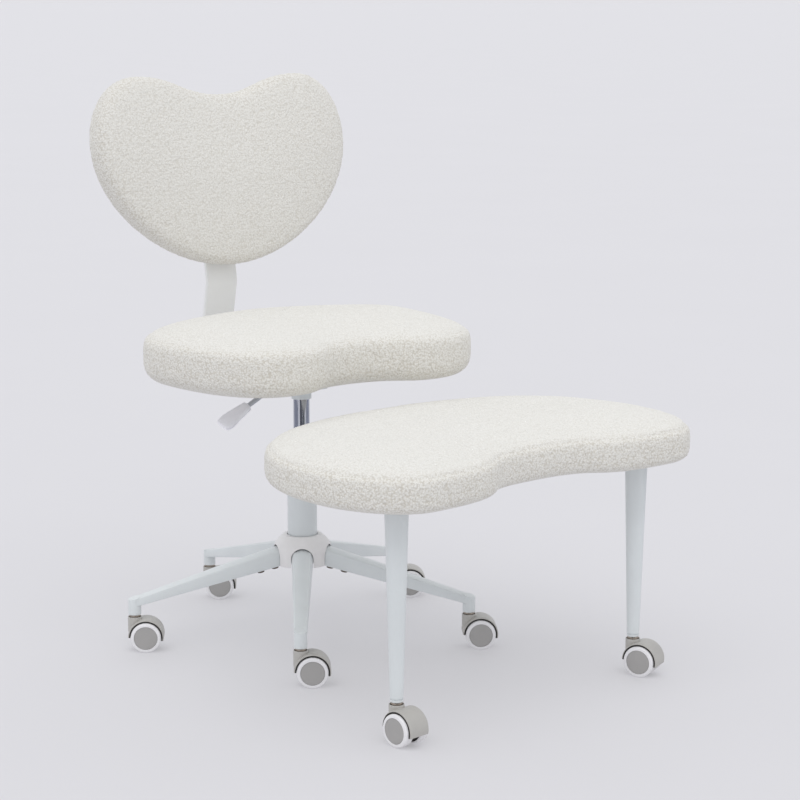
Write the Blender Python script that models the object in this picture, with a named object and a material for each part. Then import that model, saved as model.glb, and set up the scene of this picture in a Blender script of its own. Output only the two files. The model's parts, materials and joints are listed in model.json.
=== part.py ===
"""Cross-legged office chair: a swivel seat on a five-armed base, with a footrest that swings round the column.

Metres, +Z up. The chair faces -Y, and the sitter's left hand is on +X. Angles about the column are measured
from -Y towards +X. The model is built round the column's axis, then moved so that the origin lies on the floor
under the middle of its bounding box.
"""

import math

import bmesh
import bpy
from mathutils import Matrix, Vector

# Fits
FIT_GAP = 0.0003
COVER_GAP = 0.001

# Casters
WHEEL_RADIUS = 0.025
WHEEL_WIDTH = 0.0157
WHEEL_EDGE = 0.002
WHEEL_SIDES = 20
CASTER_TRAIL = 0.0184
HOOD_WEB = 0.015
HOOD_WALL = 0.0027
HOOD_SIDE = 0.0190
HOOD_REAR_DROP = 13.0
HOOD_WEB_DROP = 0.009
WHEEL_CLEARANCE = 0.0018
AXLE_RADIUS = 0.003
AXLE_INSET = 0.004
BOSS_RADIUS = 0.0117
BOSS_RISE = 0.0030
STEM_RADIUS = 0.005
STEM_IN_HOOD = 0.020
STEM_IN_SOCKET = 0.018
COLLAR_RADIUS = 0.0095
COLLAR_HEIGHT = 0.0027

# Five-armed base
ARM_COUNT = 5
BASE_TURN = -34.0
BASE_RADIUS = 0.2927
BASE_CASTER_TRAIL = 57.5
ARM_WALL = 0.002
ARM_RISE = 0.0515
ARM_WIDTH_AT_HUB = 0.036
ARM_WIDTH_AT_END = 0.0218
ARM_HEIGHT_AT_HUB = 0.031
ARM_HEIGHT_AT_END = 0.0135
SOCKET_RADIUS = 0.0113
SOCKET_CHAMFER = 0.003
SOCKET_RISE = 0.001
SOCKET_DROP = 0.0147
HUB_FLAT = 0.037
HUB_SIDES = 10
HUB_RISE = 0.003
HUB_NECK_RADIUS = 0.0305
HUB_NECK_RISE = 0.0115
COVER_RADIUS = 0.045
COVER_TOP_RADIUS = 0.035
COVER_WALL = 0.0025
COVER_TOP_WALL = 0.005
COVER_SKIRT = 0.038

# Column and gas lift
TUBE_RADIUS = 0.025
TUBE_WALL = 0.002
TUBE_LENGTH = 0.188
TUBE_FLOOR = 0.003
STOP_RING_WIDTH = 0.006
STOP_RING_HEIGHT = 0.006
BUSH_LENGTH = 0.055
BUSH_FLANGE = 0.003
CYLINDER_RADIUS = 0.014
CYLINDER_WALL = 0.003
CYLINDER_FOOT = 0.048
CYLINDER_GLAND = 0.015
CYLINDER_HEAD = 0.018
ROD_RADIUS = 0.005
ROD_LENGTH = 0.178
ROD_FLANGE_RADIUS = 0.009
ROD_FLANGE_HEIGHT = 0.004
PISTON_HEIGHT = 0.020
BUTTON_RADIUS = 0.004
BUTTON_HEAD_RADIUS = 0.006
BUTTON_HEAD_HEIGHT = 0.003
BUTTON_TRAVEL = 0.0035

# Footrest
FOOTREST_TURN = 5.9
LEG_FROM_FAR = 0.0925
LEG_FROM_SIDE = 0.1081
LEG_LENGTH = 0.2949
LEG_TOP_RADIUS = 0.018
LEG_FOOT_RADIUS = 0.0098
LEG_WALL = 0.002
FOOTREST_WIDTH = 0.724
FOOTREST_NEAR = 0.172
FOOTREST_WIDEST = 0.455
FOOTREST_LOBE_FROM_SIDE = 0.111
FOOTREST_FAR = 0.620
FOOTREST_NOTCH = 0.052
FOOTREST_SEAM = 0.046
FOOTREST_CROWN = 0.015
FOOTREST_UNDER_ROUND = 0.021
FOOTREST_TOP_ROUND = 0.026
FOOTREST_EASE = {"back": 0.78, "rear": 0.45, "fore": 0.64, "lobe": 0.46, "dip": 0.74, "notch": 0.58}
FOOTREST_CASTER_TRAILS = (9.5, 26.0)
SWING_COLLAR_HEIGHT = 0.050
SWING_COLLAR_WALL = 0.006
SWING_ARM_WIDTH = 0.045
SWING_ARM_THICKNESS = 0.008
SWING_ARM_RISE_START = 0.085
SWING_ARM_RISE_END = 0.200
SWING_ARM_REACH = 0.450
SWING_ARM_BEND = 0.030

# Seat
SEAT_CLEARANCE = 0.0259
SEAT_WIDTH = 0.560
SEAT_BACK = 0.218
SEAT_WIDEST = 0.014
SEAT_LOBE_FROM_SIDE = 0.141
SEAT_FRONT = 0.215
SEAT_NOTCH = 0.040
SEAT_SEAM = 0.069
SEAT_CROWN = 0.0185
SEAT_UNDER_ROUND = 0.031
SEAT_TOP_ROUND = 0.030
SEAT_EASE = {"back": 0.40, "rear": 0.60, "fore": 0.48, "lobe": 0.78, "dip": 0.57, "notch": 0.62}
BOARD_THICKNESS = 0.012
BOARD_INSET = 0.045

# Seat mechanism and lever
MECHANISM_HEIGHT = 0.0435
PLATE_WIDTH = 0.170
PLATE_DEPTH = 0.150
PLATE_THICKNESS = 0.004
HOUSING_WIDTH = 0.084
HOUSING_DEPTH = 0.070
HOUSING_HEIGHT = 0.025
HOUSING_DRAFT = 0.008
BOSS_WALL = 0.0025
LEVER_RADIUS = 0.004
LEVER_UNDER_PLATE = 0.0013
LEVER_SLOT = 0.016
LEVER_PIVOT = 0.030
LEVER_PIN_RADIUS = 0.003
LEVER_PIN_LENGTH = 0.024
LEVER_TAIL = 0.002
LEVER_DROOP = 28.0
LEVER_LENGTH = 0.110
PADDLE_START = 0.077
PADDLE_LENGTH = 0.0575
PADDLE_WIDTH = 0.032
PADDLE_ROLL = 23.0
PADDLE_NECK = 0.018
PADDLE_BUTT = 0.013
PADDLE_THICKNESS = 0.009

# Back
BAR_WIDTH = 0.060
BAR_THICKNESS = 0.008
BAR_LEAN_FORWARD = 12.0
BACK_LEAN = 10.0
BAR_SETBACK = 0.2815
BAR_KNEE = 0.133
BAR_TOP = 0.345
BAR_BEND = 0.030
BACK_GAP = 0.160
BACK_WIDTH = 0.500
BACK_HEIGHT = 0.338
BACK_WIDEST = 0.220
BACK_LOBE_FROM_SIDE = 0.090
BACK_NOTCH = 0.034
BACK_SEAM = 0.053
BACK_CROWN = 0.008
BACK_UNDER_ROUND = 0.018
BACK_TOP_ROUND = 0.028
BACK_EASE = {"back": 0.46, "rear": 0.55, "fore": 0.56, "lobe": 0.56, "dip": 0.45, "notch": 0.45}

# Curve quality
ROUND_SIDES = 24
PIN_SIDES = 12
COVER_SIDES = 40
EDGE_STEPS = 3
OUTLINE_STEPS = (8, 7, 7)

# Heights, worked up from the floor
HOOD_INNER = WHEEL_RADIUS + WHEEL_CLEARANCE
HOOD_OUTER = HOOD_INNER + HOOD_WALL
BOSS_TOP = WHEEL_RADIUS + HOOD_OUTER + BOSS_RISE
SOCKET_BOTTOM = BOSS_TOP + COLLAR_HEIGHT + 2 * FIT_GAP
ARM_UNDER_END = SOCKET_BOTTOM + SOCKET_DROP
ARM_UNDER_HUB = ARM_UNDER_END + ARM_RISE
HUB_BOTTOM = ARM_UNDER_HUB + HUB_RISE
HUB_SHOULDER = ARM_UNDER_HUB + ARM_HEIGHT_AT_HUB
HUB_TOP = HUB_SHOULDER + HUB_NECK_RISE
COVER_TOP = HUB_TOP + FIT_GAP + COVER_TOP_WALL
TUBE_BOTTOM = HUB_BOTTOM
TUBE_TOP = TUBE_BOTTOM + TUBE_LENGTH
SWING_COLLAR_TOP = TUBE_TOP - BUSH_FLANGE - FIT_GAP
SWING_COLLAR_BOTTOM = SWING_COLLAR_TOP - SWING_COLLAR_HEIGHT
FOOTREST_UNDER = SOCKET_BOTTOM + LEG_LENGTH + FIT_GAP
FOOTREST_TOP = FOOTREST_UNDER + FOOTREST_SEAM + 0.35 * FOOTREST_TOP_ROUND + FOOTREST_CROWN
SEAT_UNDER = FOOTREST_TOP + SEAT_CLEARANCE
MECHANISM_TOP = SEAT_UNDER - FIT_GAP
MECHANISM_BOTTOM = MECHANISM_TOP - MECHANISM_HEIGHT
PLATE_UNDER = MECHANISM_TOP - PLATE_THICKNESS
LEVER_HEIGHT = PLATE_UNDER - LEVER_UNDER_PLATE - LEVER_RADIUS
BUTTON_TOP = LEVER_HEIGHT - LEVER_RADIUS - FIT_GAP
CYLINDER_TOP = BUTTON_TOP - BUTTON_HEAD_HEIGHT - BUTTON_TRAVEL - 2 * FIT_GAP
CYLINDER_BOTTOM = TUBE_BOTTOM + CYLINDER_FOOT
SLOT_FLOOR = CYLINDER_TOP + FIT_GAP


def bore_round(radius, sides):
    """Corner radius of a bore of so many flats that clears a pin of the radius by the fit gap."""
    return (radius + FIT_GAP) / math.cos(math.pi / sides)


# Radii that follow from the fits
STEM_BORE = bore_round(STEM_RADIUS, PIN_SIDES)
AXLE_BORE = bore_round(AXLE_RADIUS, PIN_SIDES)
HUB_BORE = bore_round(TUBE_RADIUS, ROUND_SIDES)
ROD_BORE = bore_round(ROD_RADIUS, ROUND_SIDES)
BUSH_BORE = bore_round(CYLINDER_RADIUS, ROUND_SIDES)
TUBE_INNER = TUBE_RADIUS - TUBE_WALL
CYLINDER_INNER = CYLINDER_RADIUS - CYLINDER_WALL
BUTTON_BORE = bore_round(BUTTON_RADIUS, ROUND_SIDES)
SWING_BORE = bore_round(TUBE_RADIUS, ROUND_SIDES)
SWING_OUTER = SWING_BORE + SWING_COLLAR_WALL
WHEEL_INNER_FACE = HOOD_WEB / 2 + FIT_GAP
WHEEL_OUTER_FACE = WHEEL_INNER_FACE + WHEEL_WIDTH

# Colour, roughness and metallic value of each finish
FINISHES = {
    "boucle": ((0.78, 0.77, 0.72), 0.95, 0.0),
    "plywood": ((0.55, 0.40, 0.24), 0.70, 0.0),
    "painted_steel": ((0.60, 0.63, 0.66), 0.38, 0.0),
    "cover_plastic": ((0.55, 0.54, 0.53), 0.50, 0.0),
    "hood_plastic": ((0.42, 0.42, 0.40), 0.50, 0.0),
    "tyre_plastic": ((0.85, 0.85, 0.86), 0.45, 0.0),
    "bush_plastic": ((0.82, 0.82, 0.80), 0.45, 0.0),
    "lever_plastic": ((0.68, 0.67, 0.68), 0.42, 0.0),
    "chrome": ((0.80, 0.81, 0.84), 0.08, 1.0),
    "bright_steel": ((0.55, 0.53, 0.50), 0.30, 1.0),
}


def clear_scene():
    for obj in list(bpy.data.objects):
        bpy.data.objects.remove(obj, do_unlink=True)


def finish_material(node, finish):
    colour, roughness, metallic = FINISHES[finish]
    material = bpy.data.materials.new(node)
    material.use_nodes = True
    shader = material.node_tree.nodes["Principled BSDF"]
    shader.inputs["Base Color"].default_value = (*colour, 1.0)
    shader.inputs["Roughness"].default_value = roughness
    shader.inputs["Metallic"].default_value = metallic
    return material


def pivot(name, place, parent=None, turn=0.0):
    """An empty on a joint's axis, turned about +Z by degrees."""
    empty = bpy.data.objects.new(name, None)
    bpy.context.collection.objects.link(empty)
    empty.parent = parent
    empty.location = place
    empty.rotation_euler = (0.0, 0.0, math.radians(turn))
    return empty


def piece(name, mesh, finish, parent, place=(0.0, 0.0, 0.0), turn=(0.0, 0.0, 0.0)):
    """One node: the mesh with its own material, hung on its pivot."""
    mesh = mesh.copy()
    mesh.name = name
    mesh.materials.clear()
    mesh.materials.append(finish_material(name, finish))
    mesh.shade_smooth()
    mesh.set_sharp_from_angle(angle=math.radians(35))
    obj = bpy.data.objects.new(name, mesh)
    bpy.context.collection.objects.link(obj)
    obj.parent = parent
    obj.location = place
    obj.rotation_euler = turn
    return obj


def mesh_from(bm):
    """The finished mesh, with doubles merged and faces pointing out."""
    bmesh.ops.remove_doubles(bm, verts=bm.verts, dist=1e-7)
    bmesh.ops.recalc_face_normals(bm, faces=bm.faces)
    mesh = bpy.data.meshes.new("shape")
    bm.to_mesh(mesh)
    bm.free()
    return mesh


def loft(rings):
    """A closed skin over rings of as many points each, capped at both ends."""
    bm = bmesh.new()
    loops = [[bm.verts.new(point) for point in ring] for ring in rings]
    count = len(loops[0])
    for lower, upper in zip(loops, loops[1:]):
        for i in range(count):
            j = (i + 1) % count
            bm.faces.new((lower[i], lower[j], upper[j], upper[i]))
    bm.faces.new(loops[0])
    bm.faces.new(loops[-1])
    return mesh_from(bm)


def lathe(profile, sides, closed=False, phase=0.0):
    """A profile of (radius, height) points turned about +Z. A closed one is a ring, and others end on the axis."""
    bm = bmesh.new()
    start = Matrix.Rotation(phase, 3, "Z")
    verts = [bm.verts.new(start @ Vector((radius, 0.0, height))) for radius, height in profile]
    pairs = list(zip(verts, verts[1:]))
    if closed:
        pairs.append((verts[-1], verts[0]))
    edges = [bm.edges.new(pair) for pair in pairs]
    bmesh.ops.spin(
        bm,
        geom=verts + edges,
        axis=(0.0, 0.0, 1.0),
        cent=(0.0, 0.0, 0.0),
        angle=2 * math.pi,
        steps=sides,
        use_merge=True,
    )
    return mesh_from(bm)


def rod(radius, low, high, sides=ROUND_SIDES, phase=0.0):
    return lathe([(0.0, low), (radius, low), (radius, high), (0.0, high)], sides, phase=phase)


def box(low, high):
    x0, y0, z0 = low
    x1, y1, z1 = high
    corners = [(x0, y0), (x1, y0), (x1, y1), (x0, y1)]
    return loft([[(x, y, z) for x, y in corners] for z in (z0, z1)])


def placed(mesh, matrix):
    mesh.transform(matrix)
    return mesh


def combined(mesh, tools, operation):
    """The mesh after a Boolean with each tool in turn."""
    base = bpy.data.objects.new("boolean_base", mesh)
    bpy.context.collection.objects.link(base)
    helpers = []
    for tool in tools:
        helper = bpy.data.objects.new("boolean_tool", tool)
        bpy.context.collection.objects.link(helper)
        helper.hide_render = True
        helper.display_type = "WIRE"
        helpers.append(helper)
        modifier = base.modifiers.new(operation, "BOOLEAN")
        modifier.operation = operation
        modifier.solver = "EXACT"
        modifier.object = helper
    bpy.context.view_layer.update()
    graph = bpy.context.evaluated_depsgraph_get()
    result = bpy.data.meshes.new_from_object(base.evaluated_get(graph))
    for obj in [base, *helpers]:
        bpy.data.objects.remove(obj, do_unlink=True)
    return result


def bezier(start, lead, trail, end, steps):
    """Points on a cubic curve, without its end point."""
    points = []
    for i in range(steps):
        t = i / steps
        s = 1.0 - t
        weights = (s**3, 3 * s * s * t, 3 * s * t * t, t**3)
        corners = (start, lead, trail, end)
        points.append(tuple(sum(w * c[k] for w, c in zip(weights, corners)) for k in (0, 1)))
    return points


def bean(width, back, widest, lobe_from_side, front, notch, ease):
    """A kidney outline, even about x = 0: round at the back, two lobes in front and a dip between them.

    The points are (sideways, forwards). The ease values say how far each curve's handles reach.
    """
    half = width / 2
    lobe = half - lobe_from_side
    dip = front - notch
    side_point = (half, widest)
    lobe_point = (lobe, front)
    right = bezier(
        (0.0, back),
        (ease["back"] * half, back),
        (half, widest - ease["rear"] * (widest - back)),
        side_point,
        OUTLINE_STEPS[0],
    )
    right += bezier(
        side_point,
        (half, widest + ease["fore"] * (front - widest)),
        (lobe + ease["lobe"] * (half - lobe), front),
        lobe_point,
        OUTLINE_STEPS[1],
    )
    right += bezier(
        lobe_point,
        (lobe * (1.0 - ease["dip"]), front),
        (lobe * ease["notch"], dip),
        (0.0, dip),
        OUTLINE_STEPS[2],
    )
    left = [(-x, y) for x, y in reversed(right[1:])]
    return [*right, (0.0, dip), *left]


def inset(outline, distance):
    """The outline moved inwards, square to itself."""
    count = len(outline)
    moved = []
    for i, (x, y) in enumerate(outline):
        before = outline[i - 1]
        after = outline[(i + 1) % count]
        along = Vector((after[0] - before[0], after[1] - before[1])).normalized()
        moved.append((x - along.y * distance, y + along.x * distance))
    return moved


def towards_spine(outline, full, share):
    """The outline drawn towards the middle line of the full shape, for the rings of its crown."""
    half = max(x for x, _ in full)
    back = full[0][1]
    dip = full[sum(OUTLINE_STEPS)][1]
    widest = full[OUTLINE_STEPS[0]][1]
    middle = (back + dip) / 2
    spine_share = 0.62
    drawn = []
    for x, y in outline:
        spine_x = spine_share * x
        spine_y = middle + (widest - middle) * (spine_x / (spine_share * half)) ** 2
        drawn.append((x + (spine_x - x) * share, y + (spine_y - y) * share))
    return drawn


def prism(outline, low, high):
    """The outline as a flat board. Forwards in the outline is -Y."""
    return loft([[(x, -y, z) for x, y in outline] for z in (low, high)])


def cushion(outline, seam, crown, under_round, top_round):
    """A padded solid on z = 0 with a pocket for its board, a seam round the top edge and a crowned top."""
    pocket = BOARD_INSET - FIT_GAP
    side_top = seam - 0.4 * top_round
    side_draw = 0.0012
    groove = 0.0022
    rings = [(pocket, BOARD_THICKNESS + FIT_GAP), (pocket, 0.0), (under_round, 0.0)]
    for i in range(1, EDGE_STEPS + 1):
        angle = math.radians(90.0 * i / EDGE_STEPS)
        rings.append((under_round * (1.0 - math.sin(angle)), under_round * (1.0 - math.cos(angle))))
    rings.append((side_draw, (under_round + side_top) / 2))
    rings.append((0.0, side_top))
    for degrees, depth in ((32.0, groove), (58.0, 0.0), (90.0, 0.0)):
        angle = math.radians(degrees)
        reach = top_round * (1.0 - math.cos(angle)) + depth
        rings.append((reach, side_top + 0.75 * top_round * math.sin(angle)))
    skin = [[(x, -y, z) for x, y in inset(outline, reach)] for reach, z in rings]
    edge = inset(outline, top_round)
    edge_height = side_top + 0.75 * top_round
    for share, rise in ((0.2, 0.45), (0.45, 0.8), (0.75, 1.0)):
        crown_ring = towards_spine(edge, outline, share)
        skin.append([(x, -y, edge_height + rise * crown) for x, y in crown_ring])
    return loft(skin)


def cushion_board(outline):
    return prism(inset(outline, BOARD_INSET), 0.0, BOARD_THICKNESS)


def rounded_path(corners, radius, steps=4):
    """Corners joined by straight runs, with an arc of the radius at each inner corner."""
    path = [Vector(corners[0])]
    for before, corner, after in zip(corners, corners[1:], corners[2:]):
        corner = Vector(corner)
        inward = (Vector(before) - corner).normalized()
        onward = (Vector(after) - corner).normalized()
        half_angle = inward.angle(onward) / 2
        reach = radius / math.tan(half_angle)
        centre = corner + (inward + onward).normalized() * (radius / math.sin(half_angle))
        first = corner + inward * reach - centre
        last = corner + onward * reach - centre
        for i in range(steps + 1):
            path.append(centre + first.lerp(last, i / steps).normalized() * radius)
    path.append(Vector(corners[-1]))
    return path


def strip(path, width, thickness):
    """A flat bar bent along a path of (out, up) points. Its width lies along X, and out is +Y."""
    rings = []
    for i, point in enumerate(path):
        before = path[max(i - 1, 0)]
        after = path[min(i + 1, len(path) - 1)]
        steps = [(b - a).normalized() for a, b in ((before, point), (point, after)) if (b - a).length > 0]
        along = sum(steps, Vector((0.0, 0.0))).normalized()
        stretch = 1.0 / along.dot(steps[0])
        normal = Vector((-along.y, along.x)) * (thickness / 2 * stretch)
        corners = ((-1, -1), (1, -1), (1, 1), (-1, 1))
        ring = []
        for side, face in corners:
            place = point + normal * face
            ring.append((side * width / 2, place.x, place.y))
        rings.append(ring)
    return loft(rings)


def on_circle(radius, degrees, height=0.0):
    """A point about the column, with the angle from -Y towards +X."""
    angle = math.radians(degrees)
    return Vector((radius * math.sin(angle), -radius * math.cos(angle), height))


def caster_shapes():
    """Meshes of a caster's pieces, with the stem on the Z axis and the axle CASTER_TRAIL behind it on +X."""
    across = Matrix.Rotation(math.radians(90), 4, "X")
    to_axle = Matrix.Translation((CASTER_TRAIL, 0.0, WHEEL_RADIUS))

    arc_steps = 10
    span = 180.0 + HOOD_REAR_DROP
    arc = []
    for i in range(arc_steps + 1):
        angle = math.radians(180.0 - span * i / arc_steps)
        arc.append((HOOD_OUTER * math.cos(angle), HOOD_OUTER * math.sin(angle)))
    web_reach = HOOD_OUTER / 2
    arc += [(web_reach, -HOOD_WEB_DROP), (-web_reach, -HOOD_WEB_DROP)]
    block = loft([[(x, y, z) for x, z in arc] for y in (-HOOD_SIDE, HOOD_SIDE)])
    block = placed(block, to_axle)
    boss = rod(BOSS_RADIUS, WHEEL_RADIUS + HOOD_WEB_DROP, BOSS_TOP)
    well_reach = HOOD_SIDE + HOOD_WALL
    wells = []
    for side in (-1, 1):
        low, high = sorted((side * HOOD_WEB / 2, side * well_reach))
        wells.append(placed(rod(HOOD_INNER, low, high, WHEEL_SIDES), to_axle @ across))
    stem_low = BOSS_TOP - STEM_IN_HOOD
    stem_bore = rod(STEM_BORE, stem_low - FIT_GAP, BOSS_TOP + HOOD_WALL, PIN_SIDES)
    axle_bore = placed(rod(AXLE_BORE, -HOOD_SIDE, HOOD_SIDE, PIN_SIDES), to_axle @ across)
    hood = combined(combined(block, [boss], "UNION"), [*wells, stem_bore, axle_bore], "DIFFERENCE")

    collar_low = BOSS_TOP + FIT_GAP
    stem = lathe(
        [
            (0.0, stem_low),
            (STEM_RADIUS, stem_low),
            (STEM_RADIUS, collar_low),
            (COLLAR_RADIUS, collar_low),
            (COLLAR_RADIUS, collar_low + COLLAR_HEIGHT),
            (STEM_RADIUS, collar_low + COLLAR_HEIGHT),
            (STEM_RADIUS, SOCKET_BOTTOM + STEM_IN_SOCKET),
            (0.0, SOCKET_BOTTOM + STEM_IN_SOCKET),
        ],
        PIN_SIDES,
    )

    axle_end = WHEEL_OUTER_FACE - AXLE_INSET
    axle = placed(rod(AXLE_RADIUS, -axle_end, axle_end, PIN_SIDES), across)

    to_corner = 1.0 / math.cos(math.pi / WHEEL_SIDES)
    tread = WHEEL_RADIUS * to_corner
    rim = (WHEEL_RADIUS - WHEEL_EDGE) * to_corner
    profile = [
        (0.0, axle_end + FIT_GAP),
        (AXLE_BORE, axle_end + FIT_GAP),
        (AXLE_BORE, WHEEL_INNER_FACE),
        (rim, WHEEL_INNER_FACE),
        (tread, WHEEL_INNER_FACE + WHEEL_EDGE),
        (tread, WHEEL_OUTER_FACE - WHEEL_EDGE),
        (rim, WHEEL_OUTER_FACE),
        (0.0, WHEEL_OUTER_FACE),
    ]
    facet = math.pi / WHEEL_SIDES
    quarter = math.pi / 2
    wheel = lathe(profile, WHEEL_SIDES, phase=quarter + facet)
    left = placed(wheel.copy(), across.inverted())
    right = placed(wheel, across)
    return {"hood": hood, "stem": stem, "axle": axle, "wheel_left": left, "wheel_right": right}


def add_caster(number, shapes, carrier, place, trail):
    """A twin-wheel caster under a socket: the stem stays with its carrier and the hood swivels on it."""
    name = f"caster_{number}"
    swivel = pivot(f"{name}_swivel", place, carrier, trail)
    axle_line = pivot(f"{name}_axle_line", (CASTER_TRAIL, 0.0, WHEEL_RADIUS), swivel)
    piece(f"{name}_stem", shapes["stem"], "bright_steel", carrier, place)
    piece(f"{name}_hood", shapes["hood"], "hood_plastic", swivel)
    piece(f"{name}_axle", shapes["axle"], "bright_steel", axle_line)
    for side in ("wheel_left", "wheel_right"):
        piece(f"{name}_{side}", shapes[side], "tyre_plastic", axle_line)
    return swivel, axle_line


def arch_section(reach, under, height, width, wall=0.0):
    """A flat-bottomed, round-topped section across an arm that runs out along -Y."""
    half = width / 2 - wall
    low = under + wall
    top = under + height - wall
    spring = top - min(half, 0.55 * (top - low))
    points = [(-half, low), (half, low)]
    arch_steps = 6
    for i in range(arch_steps + 1):
        angle = math.pi * i / arch_steps
        points.append((half * math.cos(angle), spring + (top - spring) * math.sin(angle)))
    return [(x, -reach, z) for x, z in points]


def arm_mesh():
    """A hollow tapering arm that ends in an upright caster socket, running out along -Y."""
    start = HUB_FLAT + FIT_GAP
    hollow_end = BASE_RADIUS - SOCKET_RADIUS - 2 * ARM_WALL
    socket_top = ARM_UNDER_END + ARM_HEIGHT_AT_END + SOCKET_RISE

    def section(reach, wall=0.0):
        share = (reach - start) / (BASE_RADIUS - start)
        under = ARM_UNDER_HUB + (ARM_UNDER_END - ARM_UNDER_HUB) * share
        height = ARM_HEIGHT_AT_HUB + (ARM_HEIGHT_AT_END - ARM_HEIGHT_AT_HUB) * share
        width = ARM_WIDTH_AT_HUB + (ARM_WIDTH_AT_END - ARM_WIDTH_AT_HUB) * share
        return arch_section(reach, under, height, width, wall)

    rings = [section(BASE_RADIUS), section(start), section(start, ARM_WALL), section(hollow_end, ARM_WALL)]
    socket_profile = [
        (0.0, SOCKET_BOTTOM),
        (SOCKET_RADIUS, SOCKET_BOTTOM),
        (SOCKET_RADIUS, socket_top - SOCKET_CHAMFER),
        (SOCKET_RADIUS - SOCKET_CHAMFER, socket_top),
        (0.0, socket_top),
    ]
    socket = placed(lathe(socket_profile, ROUND_SIDES), Matrix.Translation((0.0, -BASE_RADIUS, 0.0)))
    bore = placed(
        rod(STEM_BORE, SOCKET_BOTTOM - ARM_WALL, SOCKET_BOTTOM + STEM_IN_SOCKET + FIT_GAP, PIN_SIDES),
        Matrix.Translation((0.0, -BASE_RADIUS, 0.0)),
    )
    return combined(combined(loft(rings), [socket], "UNION"), [bore], "DIFFERENCE")


def hub_mesh():
    corner = HUB_FLAT / math.cos(math.pi / HUB_SIDES)
    flats = [on_circle(corner, 360.0 * (i + 0.5) / HUB_SIDES) for i in range(HUB_SIDES)]
    block = loft([[(p.x, p.y, z) for p in flats] for z in (HUB_BOTTOM, HUB_SHOULDER)])
    neck = rod(HUB_NECK_RADIUS, (HUB_BOTTOM + HUB_SHOULDER) / 2, HUB_TOP)
    bore = rod(HUB_BORE, HUB_BOTTOM - HUB_RISE, HUB_TOP + HUB_RISE)
    return combined(combined(block, [neck], "UNION"), [bore], "DIFFERENCE")


def cover_mesh():
    """A plastic cap over the hub, with an arched mouth for each arm."""
    skirt = COVER_TOP - HUB_NECK_RISE - COVER_SKIRT
    inner = COVER_RADIUS - COVER_WALL
    ceiling = HUB_TOP + FIT_GAP
    bore = TUBE_RADIUS + COVER_GAP
    profile = [
        (COVER_RADIUS, skirt),
        (COVER_RADIUS, HUB_SHOULDER),
        (COVER_TOP_RADIUS + COVER_WALL, HUB_SHOULDER + 0.6 * HUB_NECK_RISE),
        (COVER_TOP_RADIUS, COVER_TOP),
        (bore, COVER_TOP),
        (bore, ceiling),
        (HUB_NECK_RADIUS + FIT_GAP, ceiling),
        (HUB_NECK_RADIUS + FIT_GAP, HUB_SHOULDER + FIT_GAP),
        (inner, HUB_SHOULDER + FIT_GAP),
        (inner, skirt),
    ]
    shell = lathe(profile, COVER_SIDES, closed=True)
    mouths = []
    for i in range(ARM_COUNT):
        near = inner / 2
        far = COVER_RADIUS + COVER_WALL
        low = min(ARM_UNDER_HUB, skirt) - COVER_GAP
        height = HUB_SHOULDER + COVER_GAP - low
        width = ARM_WIDTH_AT_HUB + 2 * COVER_GAP
        mouth = loft([arch_section(reach, low, height, width) for reach in (near, far)])
        turn = Matrix.Rotation(math.radians(360.0 * i / ARM_COUNT), 4, "Z")
        mouths.append(placed(mouth, turn))
    return combined(shell, mouths, "DIFFERENCE")


def build_base(root, caster):
    base = pivot("base_frame", (0.0, 0.0, 0.0), root, BASE_TURN)
    piece("base_hub", hub_mesh(), "painted_steel", base)
    piece("hub_cover", cover_mesh(), "cover_plastic", base)
    arm = arm_mesh()
    swivels = []
    for i in range(ARM_COUNT):
        turn = 360.0 * i / ARM_COUNT
        piece(f"arm_{i + 1}", arm, "painted_steel", base, turn=(0.0, 0.0, math.radians(turn)))
        stem_place = on_circle(BASE_RADIUS, turn)
        trail = BASE_CASTER_TRAIL - 90.0 - BASE_TURN
        swivels.append(add_caster(i + 1, caster, base, stem_place, trail))

    ring_top = SWING_COLLAR_BOTTOM - FIT_GAP
    ring_radius = TUBE_RADIUS + STOP_RING_WIDTH
    tube = [
        (TUBE_RADIUS, TUBE_BOTTOM),
        (TUBE_RADIUS, ring_top - STOP_RING_HEIGHT),
        (ring_radius, ring_top - STOP_RING_HEIGHT),
        (ring_radius, ring_top),
        (TUBE_RADIUS, ring_top),
        (TUBE_RADIUS, TUBE_TOP),
        (TUBE_INNER, TUBE_TOP),
        (TUBE_INNER, TUBE_BOTTOM + TUBE_FLOOR),
        (ROD_BORE, TUBE_BOTTOM + TUBE_FLOOR),
        (ROD_BORE, TUBE_BOTTOM),
    ]
    piece("column_tube", lathe(tube, ROUND_SIDES, closed=True), "painted_steel", base)
    flange_low = TUBE_TOP + FIT_GAP
    bush = [
        (BUSH_BORE, TUBE_TOP - BUSH_LENGTH),
        (TUBE_INNER - FIT_GAP, TUBE_TOP - BUSH_LENGTH),
        (TUBE_INNER - FIT_GAP, flange_low),
        (TUBE_RADIUS, flange_low),
        (TUBE_RADIUS, flange_low + BUSH_FLANGE),
        (BUSH_BORE, flange_low + BUSH_FLANGE),
    ]
    piece("guide_bush", lathe(bush, ROUND_SIDES, closed=True), "bush_plastic", base)
    return swivels


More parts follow.
